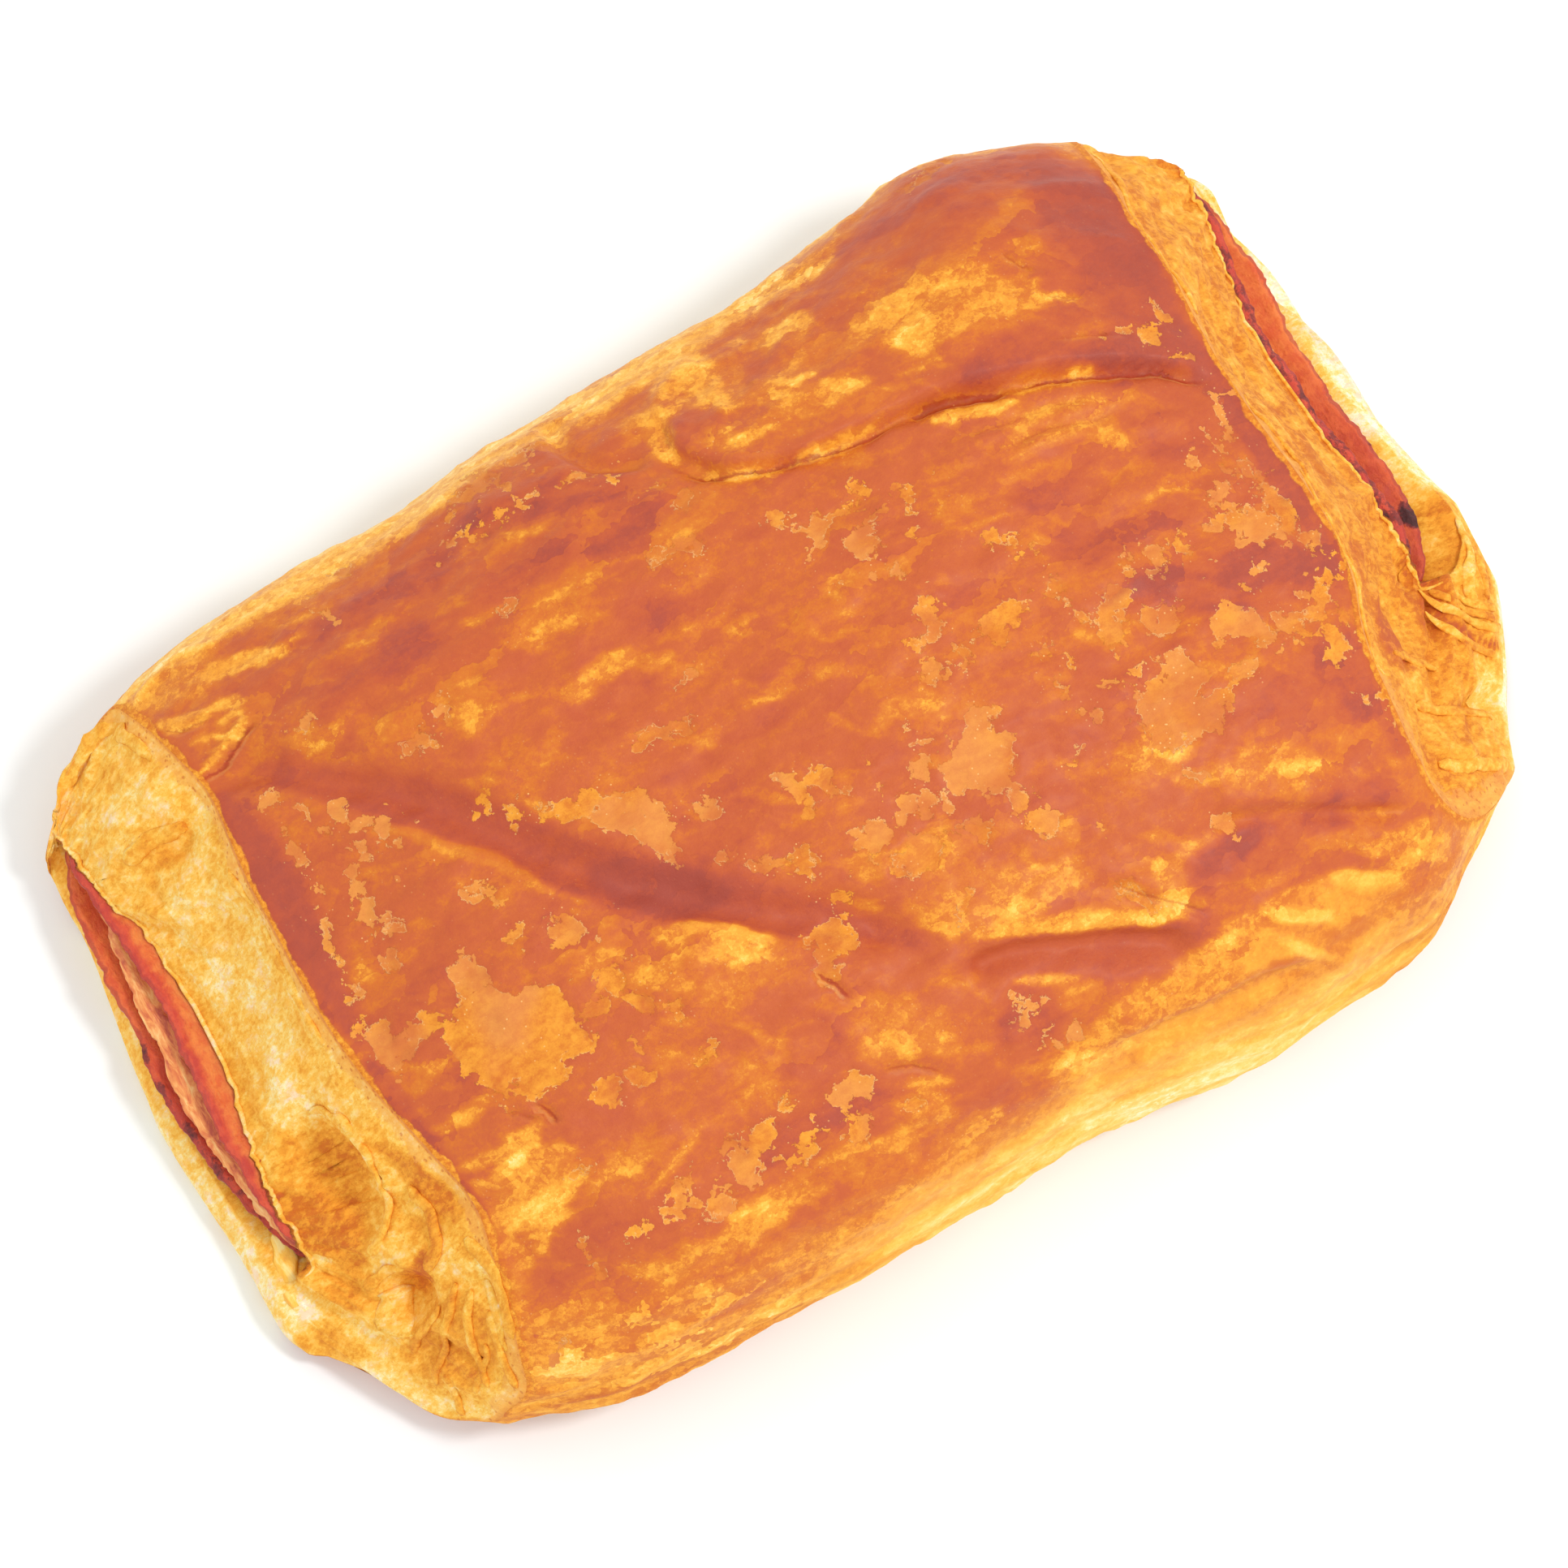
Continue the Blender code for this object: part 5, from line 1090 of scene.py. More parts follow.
def makeCrustMaterial():
    look = crustLook
    made, n, shader = newMaterial("glazedCrust", look["constants"])
    place = n.placeInMm()
    glaze, baked = n.attribute("glaze"), n.attribute("bake")
    streaks = n.noise(n.stretched(place, (0.25, 0.7, 0.7)), *look["streaks"])
    torn, grit = n.noise(place, *look["torn"]), n.noise(place, *look["grit"])
    chips = n.cellValues(n.bent(place, 0.8, 1.12), 1.3)
    sheets = n.cellValues(n.stretched(n.bent(place, 0.3, 4.3), (0.16, 0.34, 0.34)), 1.0)
    sheets = n.times(n.minus(sheets, 0.5), n.patches(place, *look["sheetPlaces"]))
    golden, amount = n.between(baked, 0.74, 0.46, 0.3, 1.0), look["shift"]
    streakShare, tornShare = 0.45, 0.55
    scuffs = n.plus(n.times(streaks, streakShare), n.times(torn, tornShare))
    onGold = n.sway(0.0, (chips, amount["chips"]), (grit, amount["grit"]))
    onGold = n.minus(onGold, n.times(n.between(scuffs, 0.545, 0.568), 0.11))
    shift = n.plus(n.sway(0.0, (streaks, amount["streaks"]), (torn, amount["torn"])), n.times(onGold, golden))
    shift = n.minus(shift, n.times(sheets, amount["sheets"]))
    shift = n.times(shift, n.between(n.attribute("loud"), 0.0, 1.0, 0.3, 1.0))
    tone = bakedColour(n, place, n.plus(baked, shift), look["mottle"])
    ragged = n.sway(n.attribute("flake"), (torn, look["bareRag"]["torn"]), (chips, look["bareRag"]["chips"]))
    bare = n.between(ragged, -0.02, 0.03)
    inner = n.minus(0.53, n.times(tone["Bake"], 0.16))
    inner = bakedColour(n, place, n.sway(inner, (streaks, 0.3)), (0.14, 0.4))
    inner = n.tint(inner["Color"], n.patches(place, *look["tanPlaces"]), look["tan"])
    colour = n.mix(n.times(bare, n.patches(place, *look["bareShows"])), tone["Color"], inner)
    # a pale painted highlight along parts of the bare places' torn edges
    rim = n.times(n.times(n.between(ragged, 0.16, 0.02), bare), n.patches(place, *look["rimHighlightPlaces"]))
    colour = n.tint(colour, rim, look["rimHighlightTone"], 0.45)
    # the cuts are painted: a pale highlight along one side of each, and dark shade inside it
    gap, wide = n.sway(n.attribute("cutGap"), (torn, 0.8)), n.attribute("cutWide")
    off = n.minus(n.math("ABSOLUTE", gap), wide)
    lip = n.between(n.math("ABSOLUTE", n.minus(off, 0.3)), 0.26, 0.05)
    lip = n.times(lip, n.times(n.between(gap, 0.0, -0.1), n.between(wide, 0.02, 0.3)))
    colour = n.tint(colour, lip, look["lipHighlightTone"], 0.65)
    cutShadeMask = n.times(n.between(off, 0.12, -0.08), n.between(wide, *look["cutWide"]))
    colour = n.tint(colour, cutShadeMask, look["cutShadeTone"], 0.75)
    swell, swellAmount = look["edgeSwell"]
    fromEdge = n.sway(n.attribute("fromEdge"), (torn, 0.8), (n.noise(place, *swell), swellAmount))
    edge = n.between(fromEdge, 0.55, 0.35)
    edgeTone = bakedColour(n, place, n.attribute("rimBake"), (0.34, 0.3))
    colour = n.mix(edge, colour, edgeTone["Color"])
    nearBare = n.plus(n.between(ragged, -0.9, -0.1), n.times(golden, 0.5))
    dots = n.times(n.between(n.cells(place, 1.6), 0.16, 0.09),
                   n.times(n.patches(place, *look["dotPlaces"]), nearBare))
    n.put(shader, "Base Color", n.tint(colour, dots, look["dotTone"], 0.6))
    grain = n.group(crumbGrain, Place=place, **look["grain"])["Height"]
    parts = {"grain": grain, "bare": bare, "torn": torn, "sheets": sheets, "edge": edge}
    n.bump(shader, weighted(n, parts, look["height"]), **look["bump"])
    rough = n.plus(n.between(glaze, *look["roughRange"]), n.times(bare, 0.16))
    n.put(shader, "Roughness", n.sway(rough, (streaks, 0.2)))
    n.put(shader, "Coat Weight", n.times(glaze, n.between(bare, *look["coatRange"])))
    return made


doughLook = {
    "constants": {"Subsurface Weight": 0.08, "Subsurface Scale": 0.001, "Subsurface Radius": (1.0, 0.9, 0.8),
                  "Specular IOR Level": 0.15},
    "downhill": (0.6, 1.0, 0.5),        # the walls are seen steeply, so their grain runs longer
    "crumbs": (0.8, 8.0, 0.74, 0.3), "grit": (2.0, 5.0, 0.7), "soft": (0.3, 3.0, 0.6, 0.5),
    "shift": {"crumbs": 0.75, "soft": 0.35, "grit": -0.08}, "mottle": (0.12, 0.5),
    # painted shade: the pit tone darkens the small pits, and the crumb tone turns the crumb's low places a
    # darker, warm orange
    "pitShadeTone": (228, 122, 36), "crumbHollowShadeTone": (250, 160, 44),
    "stripTone": (242, 170, 88), "poreShadeTone": (206, 108, 46),    # the porous strip under the roof's cut edge, with painted shade in its pores
    "height": {"grain": 0.6, "grit": 0.35, "pores": -0.5, "crumbs": 1.1},
    "bump": {"distance": 0.0003, "strength": 0.42}, "roughRange": (0.2, 0.8, 0.55, 0.8),
}


def makeDoughMaterial():
    look = doughLook
    made, n, shader = newMaterial("openDough", look["constants"])
    place, leafy = n.placeInMm(), n.attribute("leafy")
    downhill = n.stretched(place, look["downhill"])
    crumbs, soft = n.noise(downhill, *look["crumbs"]), n.noise(downhill, *look["soft"])
    grit = n.patches(downhill, look["grit"], (0.42, 0.58))
    lines = n.noise(n.stretched(n.attribute("place", "Vector"), (0.25, 1.1, 1.0)), 1.0, 4.0, 0.6, 0.8)
    amount = look["shift"]
    shift = n.times(n.minus(lines, 0.5), n.between(leafy, 0.0, 1.0, 0.04, 0.10))
    shift = n.sway(shift, (crumbs, amount["crumbs"]), (soft, amount["soft"]), (grit, amount["grit"]))
    # painted glints: the crumb's highest places are made paler
    shift = n.minus(shift, n.times(n.between(crumbs, 0.56, 0.60), 0.06))
    tone = bakedColour(n, place, n.plus(n.attribute("bake"), shift), look["mottle"])
    grain = n.group(crumbGrain, Place=place, Size=0.6, Pits=n.between(leafy, 0.2, 1.0, 0.4, 0.9))
    # painted shade: darker orange in the small pits and in the crumb's low places
    colour = n.tint(tone["Color"], grain["Pits"], look["pitShadeTone"], 0.45)
    colour = n.tint(colour, n.between(crumbs, 0.50, 0.40, 0.0, 0.35), look["crumbHollowShadeTone"])
    strip = n.between(n.sway(n.attribute("underRoof"), (crumbs, 1.2)), 0.54, 0.62)
    # painted shade in the pores of the strip under the roof
    pores = n.cells(n.bent(place, 0.9, 0.43), 1.5)
    pores = n.times(n.between(pores, 0.30, 0.18), strip)
    colour = n.tint(colour, strip, look["stripTone"], 0.5)
    n.put(shader, "Base Color", n.tint(colour, pores, look["poreShadeTone"], 0.6))
    parts = {"grain": grain["Height"], "grit": grit, "pores": pores, "crumbs": crumbs}
    n.bump(shader, weighted(n, parts, look["height"]), **look["bump"])
    n.put(shader, "Roughness", n.between(crumbs, *look["roughRange"]))
    return made


crustFinish, doughFinish = makeCrustMaterial(), makeDoughMaterial()

shellSize = {
    "around": 326, "bodyRows": 222, "wallRows": 33, "rimBake": (0.43, 0.45),
    # what stands in the skin's values where there is no skin
    "elsewhere": {"flake": -2.0, "glaze": 0.0, "loud": 1.0, "fromEdge": 0.0, "rimBake": 0.4, "cutGap": 3.0,
                  "cutWide": 0.0},
}


def loopAngles(count):      # round the outline in even steps, which are longer underneath
    fine = np.linspace(0, 2 * math.pi, 6001)
    y, z = section(np.zeros_like(fine), fine)
    weight = np.where(-np.cos(fine) > -0.5, 1.0, 0.15)
    steps = np.hypot(np.diff(y), np.diff(z)) * 0.5 * (weight[1:] + weight[:-1])
    along = np.concatenate([[0], np.cumsum(steps)])
    return np.interp(np.linspace(0, along[-1], count, endpoint=False), along, fine)


def makeSkin(angle, aroundLoop):
    leftEdge, rightEdge = cutEdge(-1, angle), cutEdge(1, angle)
    x = leftEdge + (rightEdge - leftEdge) * np.linspace(0, 1, shellSize["bodyRows"])[:, None]
    y, z = section(x, np.broadcast_to(angle, x.shape))
    plain, around = np.stack([x, y, z], 2), np.broadcast_to(aroundLoop, x.shape)
    fromEdge = np.minimum(x - leftEdge, rightEdge - x)
    onTop = aboveWidest((3, 8), z)
    flakes = np.where(onTop > 0, flakeField(x, y) - 2 * (1 - onTop), flakeEdges["outside"])
    lift = skinRelief(x, y, z, around, flakes)
    reach, near = 4, 3
    calmLift = sum(np.roll(lift, k, 1) for k in range(-reach, reach + 1)) / (2 * reach + 1)
    lift = mixInto(lift, calmLift, ramp(2.2, 0.6, fromEdge))
    points = np.where(z[..., None] <= 0, plain, plain + gridNormals(plain) * lift[..., None])
    smooth = 0.25 * sum(np.roll(lift, shift, axis) for axis in (0, 1) for shift in (near, -near))
    bake, top, loud = skinValues(x, y, z, around, lift - smooth)
    cutGap, cutWide = cutLines(x, y)
    place = np.stack([around, x * 0, x * 0], 2)
    # the edge loops take the walls' place in the grain, so that the leaves meet them
    place[0, :, 2], place[-1, :, 2] = -endPaint["grainRow"], endPaint["grainRow"]
    return {"points": points, "bake": bake, "place": place, "leafy": np.ones(x.shape),
            "underRoof": np.ones(x.shape), "flake": flakes, "glaze": top * ramp(0.5, 1.2, fromEdge),
            "loud": loud, "fromEdge": fromEdge, "rimBake": np.where(x < 0, *shellSize["rimBake"]),
            "cutGap": cutGap, "cutWide": cutWide * top}


def makeShell():
    angle = loopAngles(shellSize["around"])
    y0, z0 = section(np.zeros_like(angle), angle)
    around = np.concatenate([[0], np.cumsum(np.hypot(np.roll(y0, -1) - y0, np.roll(z0, -1) - z0))[:-1]])
    skin, mouths, walls = makeSkin(angle, around), {}, {}
    for end, outer in ((-1, skin["points"][0]), (1, skin["points"][-1])):
        mouths[end] = np.stack(slit(end, angle), 1)
        walls[end] = makeWall(end, angle, around, outer, mouths[end], shellSize["wallRows"])
    tunnel = makeTunnel(angle, around, mouths[-1], mouths[1])
    backwards = {key: value[::-1] for key, value in walls[-1].items()}

    def joined(key):
        return np.concatenate([part[key] if key in part
                               else np.full(part["bake"].shape, shellSize["elsewhere"][key])
                               for part in (skin, walls[1], tunnel, backwards)])

    points = joined("points")
    rows, columns = points.shape[:2]
    faces = gridFaces(rows, columns, True, True)
    isDough = faces[:, 0] // columns >= shellSize["bodyRows"] - 1
    made = addMesh("crust", points, faces[:, ::-1], [crustFinish, doughFinish],
                   {key: joined(key) for key in skin if key != "points"}, isDough)
    return made, around, walls


crust, aroundLoop, walls = makeShell()
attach(crust, "root")
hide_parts("pastry")
print("stage: crust with", len(crust.data.polygons), "faces")


# Torn leaves and folds, laid on the wall along a bent line: line in space, half width, thickness, rise over the
# wall, browning at its start and end. Lengths in mm.
leafShape = {
    "strands": {
        -1: [
            # the thin rim of the big hollow
            ([(-53.6, -6.4, 17.4), (-51.9, -10, 21.4), (-51.3, -13.6, 22.4), (-51.4, -16.6, 20.8),
             (-52.2, -19.4, 18.6), (-54.2, -20.6, 17), (-56.2, -20.4, 14.8)], 0.55, 0.5, 0.15, 0.2, 0.3),
            # the fold under the roof, behind the hollow
            ([(-50.2, -18, 22.6), (-50, -21.4, 22.8), (-50.6, -24, 21.4), (-52.2, -25, 18.4)], 0.7, 0.4, 0.1,
             0.34, 0.42),
            # the puffed lump in the second hollow
            ([(-55.2, -24, 13.4), (-56, -25.4, 11.4), (-56.6, -27.4, 10.4)], 1.9, 1.3, 0.1, 0.16, 0.24),
            ([(-52.6, -22.8, 17.2), (-54.8, -22.2, 14.8), (-57.4, -22.4, 12)], 0.5, 0.4, 0.1, 0.28, 0.34),
            # ragged strands at the near corner
            ([(-50.4, -27.2, 20.4), (-52.4, -29.2, 17.2), (-54.4, -30.6, 13.4), (-55.9, -32.4, 9)], 0.45, 0.4,
             0.08, 0.32, 0.38),
            ([(-49.6, -28.6, 21), (-51, -30.6, 18.2), (-51.8, -33, 16), (-52.3, -35.8, 13.4)], 0.5, 0.4, 0.1,
             0.28, 0.36),
            ([(-52.8, -27.8, 17.4), (-54.8, -28.4, 14), (-57, -29.6, 10)], 0.4, 0.3, 0.08, 0.34, 0.4),
            ([(-48.8, -31, 21), (-49.6, -34, 18.4), (-50.3, -37.6, 15.8)], 0.55, 0.4, 0.08, 0.28, 0.34),
            ([(-50.6, -32.6, 18), (-51.8, -34.4, 15.2), (-53.4, -35.2, 11.4)], 0.35, 0.3, 0.08, 0.36, 0.32),
            ([(-54.4, -32.2, 11.8), (-55, -34.4, 9), (-54.8, -35.8, 6.8)], 0.5, 0.35, 0.06, 0.32, 0.36),
            ([(-48, -24.8, 23.6), (-47, -28, 24), (-46.8, -31.6, 22.8), (-47.6, -34.4, 20.6)], 0.8, 0.35,
             0.04, 0.28, 0.36),
            # creases of the far part
            ([(-57.4, 21.4, 15.8), (-54.8, 21.4, 19), (-51.2, 19.8, 22.6)], 0.8, 0.45, 0, 0.2, 0.3),
        ],
        1: [
            # the thin leaves of the fold at the near side, beside its dark line
            ([(57.8, -13.4, 11.4), (58.8, -15.6, 11.4), (59.9, -17.5, 10.2), (61.3, -18.6, 7.9),
             (63, -19.3, 6.2), (64.8, -19.4, 5)], 0.5, 0.35, 0.12, 0.27, 0.34),
            ([(58.6, -13.6, 10.8), (59.6, -15.4, 10.6), (60.8, -17, 9), (62.4, -18, 7), (64.2, -18.6, 5.6)],
             0.45, 0.35, 0.1, 0.33, 0.42),
            ([(60.2, -14.6, 9.6), (61.4, -16.2, 8.2), (63, -17.2, 6.8), (64.8, -17.8, 5.4)], 0.45, 0.35, 0.1,
             0.26, 0.34),
            ([(57, -15.8, 12), (57.7, -17.8, 12), (58.5, -19.8, 10.8), (60, -21, 7.8), (61.8, -21.7, 6.4)],
             0.5, 0.35, 0.08, 0.28, 0.36),
            # the two lobes beside the mouth's near corner, and their pleats
            ([(65.6, -8, 6), (64.4, -10.8, 6.6), (63.4, -12.7, 6.9), (62.8, -14.6, 7.2), (61.9, -16.8, 7.6)],
             0.7, 0.45, 0.02, 0.2, 0.28),
            ([(63, -8.4, 6.2), (62.7, -10.6, 6.5), (61.8, -13, 7.6), (60.8, -15.6, 8.6)], 0.8, 0.45, 0.02,
             0.26, 0.34),
            ([(61.4, -11.8, 7.4), (60.7, -13.8, 8.6), (59.8, -15.8, 10)], 0.7, 0.4, 0.02, 0.3, 0.38),
            ([(65.8, -12, 5.6), (65, -14.6, 6), (63.8, -17, 6.2)], 0.7, 0.4, 0, 0.28, 0.36),
            # folds of the near corner
            ([(48, -30.4, 21), (52, -31, 15.8), (56.3, -31.4, 9)], 0.7, 0.5, 0.1, 0.26, 0.32),
            ([(50.4, -24.8, 20.4), (54, -25.8, 14.6), (57, -27.2, 9.6)], 0.6, 0.45, 0, 0.3, 0.36),
            ([(49.6, -19.8, 22.4), (52.4, -20.6, 18.6), (55.2, -21.4, 14.4)], 0.4, 0.35, 0, 0.42, 0.38),
        ],
    },
    # leaves under the roof's cut edge: depth below it, half width, rise, browning, share that is there
    "edgeLeaves": {-1: [(1.7, 0.7, 0, 0.27, 0.4)], 1: [(1.5, 0.6, 0.02, 0.3, 0.4), (2.9, 0.6, 0, 0.36, 0.3)]},
    "edgeThickness": 0.34,
    # the thin torn rim over the mouth: half width, rise, browning
    "mouthRim": {-1: (0.26, 0, 0.20), 1: (0.28, 0.02, 0.24)}, "rimThickness": 0.3, "ring": 10, "step": 0.45,
    "wobble": 0.22,
}


def smoothRows(values, times):
    for _ in range(times):
        padded = np.concatenate([values[:1], values, values[-1:]])
        values = 0.25 * padded[:-2] + 0.5 * padded[1:-1] + 0.25 * padded[2:]
    return values


def evenSteps(line, step):      # the bent line in even steps
    line = np.array(line, float)
    run = lengthsAlong(line)
    at = np.linspace(0, run[-1], max(int(run[-1] / step), 6))
    return np.stack([np.interp(at, run, line[:, k]) for k in range(3)], 1)


def strandGrid(centre, out, halfWidth, thickness, seed):
    share, run = np.linspace(0, 1, len(centre)), lengthsAlong(centre)
    sideways = np.cross(np.gradient(centre, axis=0), out)
    sideways /= np.linalg.norm(sideways, axis=1, keepdims=True)
    tips = np.sin(math.pi * np.clip(share, 0.02, 0.98)) * 3
    taper = np.sqrt(np.clip(tips, 0, 1))
    waver = 1 + uneven((0.35, 2.4, 1, 0, 3), run, np.full_like(run, seed), seed)
    wide = (halfWidth * taper * waver)[:, None, None]
    thick = (0.6 * thickness * taper)[:, None, None]
    turn = np.linspace(0, 2 * math.pi, leafShape["ring"], endpoint=False)[None, :, None]
    runGrid, turnGrid = np.broadcast_arrays(run[:, None], turn[..., 0])
    bumpy = 1 + uneven((0.07, 0.7, 1.3, 5, 2), runGrid, turnGrid, seed)
    ring = sideways[:, None] * wide * np.cos(turn) + out[:, None] * thick * np.sin(turn)
    alongStep, acrossStep = 17.0, 5.0
    place = np.stack([runGrid + alongStep * seed, turnGrid * halfWidth,
                      np.full_like(runGrid, acrossStep * seed)], -1)
    return centre[:, None] + bumpy[..., None] * ring, place, share


def foldStrips(end, surface, outward):      # the listed lines, moved onto the nearest points of the wall
    laid, length, seed = [], 2, 80
    for number, (line, halfWidth, thickness, rise, first, last) in enumerate(leafShape["strands"][end]):
        raw = evenSteps(line, leafShape["step"])
        bends = [cloud(raw[:, 1] / length + number, raw[:, 2] / length, seed + k, 2) for k in range(3)]
        raw = raw + leafShape["wobble"] * np.stack(bends, 1)
        nearest = ((raw[:, None] - surface[None]) ** 2).sum(2).argmin(1)
        centre, out = smoothRows(surface[nearest], 3), smoothRows(outward[nearest], 4)
        laid.append((centre + rise * out, out, halfWidth, thickness, first, last))
    return laid


def edgeStrips(end, wall, outward):     # broken leaves that follow the roof's cut edge
    shape, laid, pick = leafShape, [], np.random.default_rng(40 + end)
    depth = np.linalg.norm(np.diff(wall, axis=0), axis=2)
    depth = np.concatenate([np.zeros((1, wall.shape[1])), np.cumsum(depth, axis=0)])
    shown = np.flatnonzero(-np.cos(loopAngles(shellSize["around"])) > -0.12)
    around = aroundLoop[shown]
    for below, halfWidth, rise, browned, share in shape["edgeLeaves"][end]:
        levels = below + uneven((0.25, 5, 1, 90, 3), around, np.full_like(around, below), end)
        rows = [int(np.argmin(np.abs(depth[:, j] - level))) for j, level in zip(shown, levels)]
        centre = np.stack([[np.interp(level, depth[:, j], wall[:, j, k]) for k in range(3)]
                           for j, level in zip(shown, levels)])
        out = smoothRows(np.stack([outward[max(i, 1), j] for i, j in zip(rows, shown)]), 6)
        at = 0
        while at < len(shown) - 12:
            length = int(pick.uniform(18, 60))
            part = slice(at, min(at + length, len(shown)))
            if pick.uniform() < share and part.stop - part.start > 8:
                width = halfWidth * pick.uniform(0.8, 1.2)
                first, last = (browned + pick.uniform(-0.05, 0.05) for _ in range(2))
                laid.append((centre[part] + rise * out[part], out[part], width, shape["edgeThickness"],
                             first, last))
            at += length - 2
    return laid


def leafStrips(end):
    wall = walls[end]["points"]
    outward = end * gridNormals(wall)
    halfWidth, rise, browned = leafShape["mouthRim"][end]
    over = np.flatnonzero(-np.cos(loopAngles(shellSize["around"])) > 0.1)
    rim, out = wall[-1, over], outward[-3, over]
    mouth = (rim + rise * out, smoothRows(out, 4), halfWidth, leafShape["rimThickness"], browned, browned)
    folds = foldStrips(end, wall.reshape(-1, 3), outward.reshape(-1, 3))
    return folds + edgeStrips(end, wall, outward) + [mouth]


def joinStrands(name, laid, finish, node):
    points, faces, places, bakes, start = [], [], [], [], 0
    for number, (centre, out, halfWidth, thickness, first, last) in enumerate(laid):
        grid, place, share = strandGrid(centre, out, halfWidth, thickness, number + 1)
        rows, ring = grid.shape[:2]
        faces.append(gridFaces(rows, ring, False, True, start))
        for row, flip in ((0, 1), (rows - 1, -1)):      # the blunt tips, closed with quads
            first4 = start + row * ring
            cap = np.array([(first4 + a, first4 + a + 1, first4 + ring - 2 - a, first4 + ring - 1 - a)
                            for a in range(ring // 2 - 1)])
            faces.append(cap[:, ::flip])
        level = mixInto(first, last, share)[:, None]
        level = level + uneven((0.06, 1.5, 1, 97, 2), place[..., 0], place[..., 1])
        points.append(grid.reshape(-1, 3))
        places.append(place.reshape(-1, 3))
        bakes.append(level.ravel())
        start += rows * ring
    bake = np.clip(np.concatenate(bakes), 0, 1)
    made = addMesh(name, np.concatenate(points), np.concatenate(faces)[:, ::-1], [finish],
                   {"bake": bake, "leafy": np.ones(len(bake)), "place": np.concatenate(places)})
    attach(made, "root")
    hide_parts(node)
    return made


leavesLeft = joinStrands("leavesLeft", leafStrips(-1), doughFinish, "pastry")
leavesRight = joinStrands("leavesRight", leafStrips(1), doughFinish, "pastry")
print("stage: torn leaves on the cut ends")


# The slices of ham and cheese, from (Y, X) points along each end.
sliceShape = {
    "corner": 1.6, "waver": (0.25, 4.0, 1, 0), "ragged": (0.2, 1.6, 1, 2, 4, 0.7), "raggedRow": 3.3,
    "rows": 96, "columns": 150, "curl": 0.5, "edgeRound": 0.6, "wave": (0.1, 2.2, 2.6, 6, 3),
    "farSide": (0, 16),
    "hamLowerEnd": {
        -1: [
            (-17, -61.7), (-11, -62.7), (-6, -63.6), (-2, -64.3), (3, -64.7), (8, -64.2), (13, -63.9),
            (18, -63.7), (23, -63.3), (30, -62.8),
        ],
        1: [
            (-14, 60.2), (-10, 61.4), (-6.4, 62.2), (2.3, 61.9), (7.8, 61.5), (13, 61.5), (16.5, 61.8),
            (19.5, 62.2), (22, 62), (24, 61.9), (29, 61.7), (34, 61),
        ],
    },
    "cheeseEnd": {
        -1: [
            (-17, -61.5), (-11, -62.2), (-6, -62.8), (-1.6, -63.4), (2, -63.4), (5, -63.1), (8.2, -62.7),
            (11.2, -62.6), (14.2, -62.4), (17.4, -61.9), (20.7, -61.4), (24, -61), (30, -61),
        ],
        1: [(-14, 58.6), (-6, 58.6), (9, 58.6), (18, 58.8), (30, 60.2)],
    },
    "hamUpperEnd": {
        -1: [
            (-17, -61.2), (-11, -61.8), (-6, -62), (-1.7, -61.9), (1.4, -61.6), (4.7, -61.2), (7.9, -60.9),
            (11.3, -60.9), (14.8, -61), (18.3, -61.3), (21.7, -61.9), (30, -62.6),
        ],
        1: [
            (-14, 58.6), (-10, 59.7), (-7, 59.9), (-1, 59.4), (3.4, 58.7), (9.5, 58.4), (16.4, 58.5),
            (22.7, 59.6), (27.5, 60.6), (33, 61),
        ],
    },
}
hamLook = {
    "constants": {"Subsurface Weight": 0.15, "Subsurface Scale": 0.003, "Subsurface Radius": (1.0, 0.25, 0.12),
                  "Specular IOR Level": 0.35, "Coat Roughness": 0.3},
    "grain": (1.0, 7.0, 0.66, 0.6), "clots": (0.8, 7.0, 0.72), "searTone": (160, 52, 46),
    "burnTone": (138, 52, 46), "charTone": (78, 36, 36), "crumb": {"Size": 0.9, "Pits": 0.4},
    "height": {"grain": 1.4, "crumb": 0.5}, "bump": {"distance": 0.0004, "strength": 0.9},
    "roughRange": (0.3, 0.7, 0.36, 0.55), "coatRange": (0.3, 0.7, 0.2, 0.0),
}
cheeseLook = {
    "constants": {"Subsurface Weight": 0.08, "Subsurface Scale": 0.001, "Subsurface Radius": (1.0, 0.9, 0.8),
                  "Specular IOR Level": 0.4, "Coat Roughness": 0.3},
    "soft": (0.8, 6.0, 0.66, 0.6),
    "slice": [(0.36, (190, 76, 46)), (0.45, (222, 120, 62)), (0.54, (238, 156, 82)), (0.66, (252, 202, 130))],
    "pool": [(0.35, (244, 168, 40)), (0.5, (254, 196, 66)), (0.65, (255, 226, 140))],
    "crumb": {"Size": 1.2, "Pits": 0.2}, "bump": {"distance": 0.0002, "strength": 0.5},
    "roughRange": (0.3, 0.7, 0.3, 0.5), "coatRange": (0.3, 0.7, 0.3, 0.15),
}


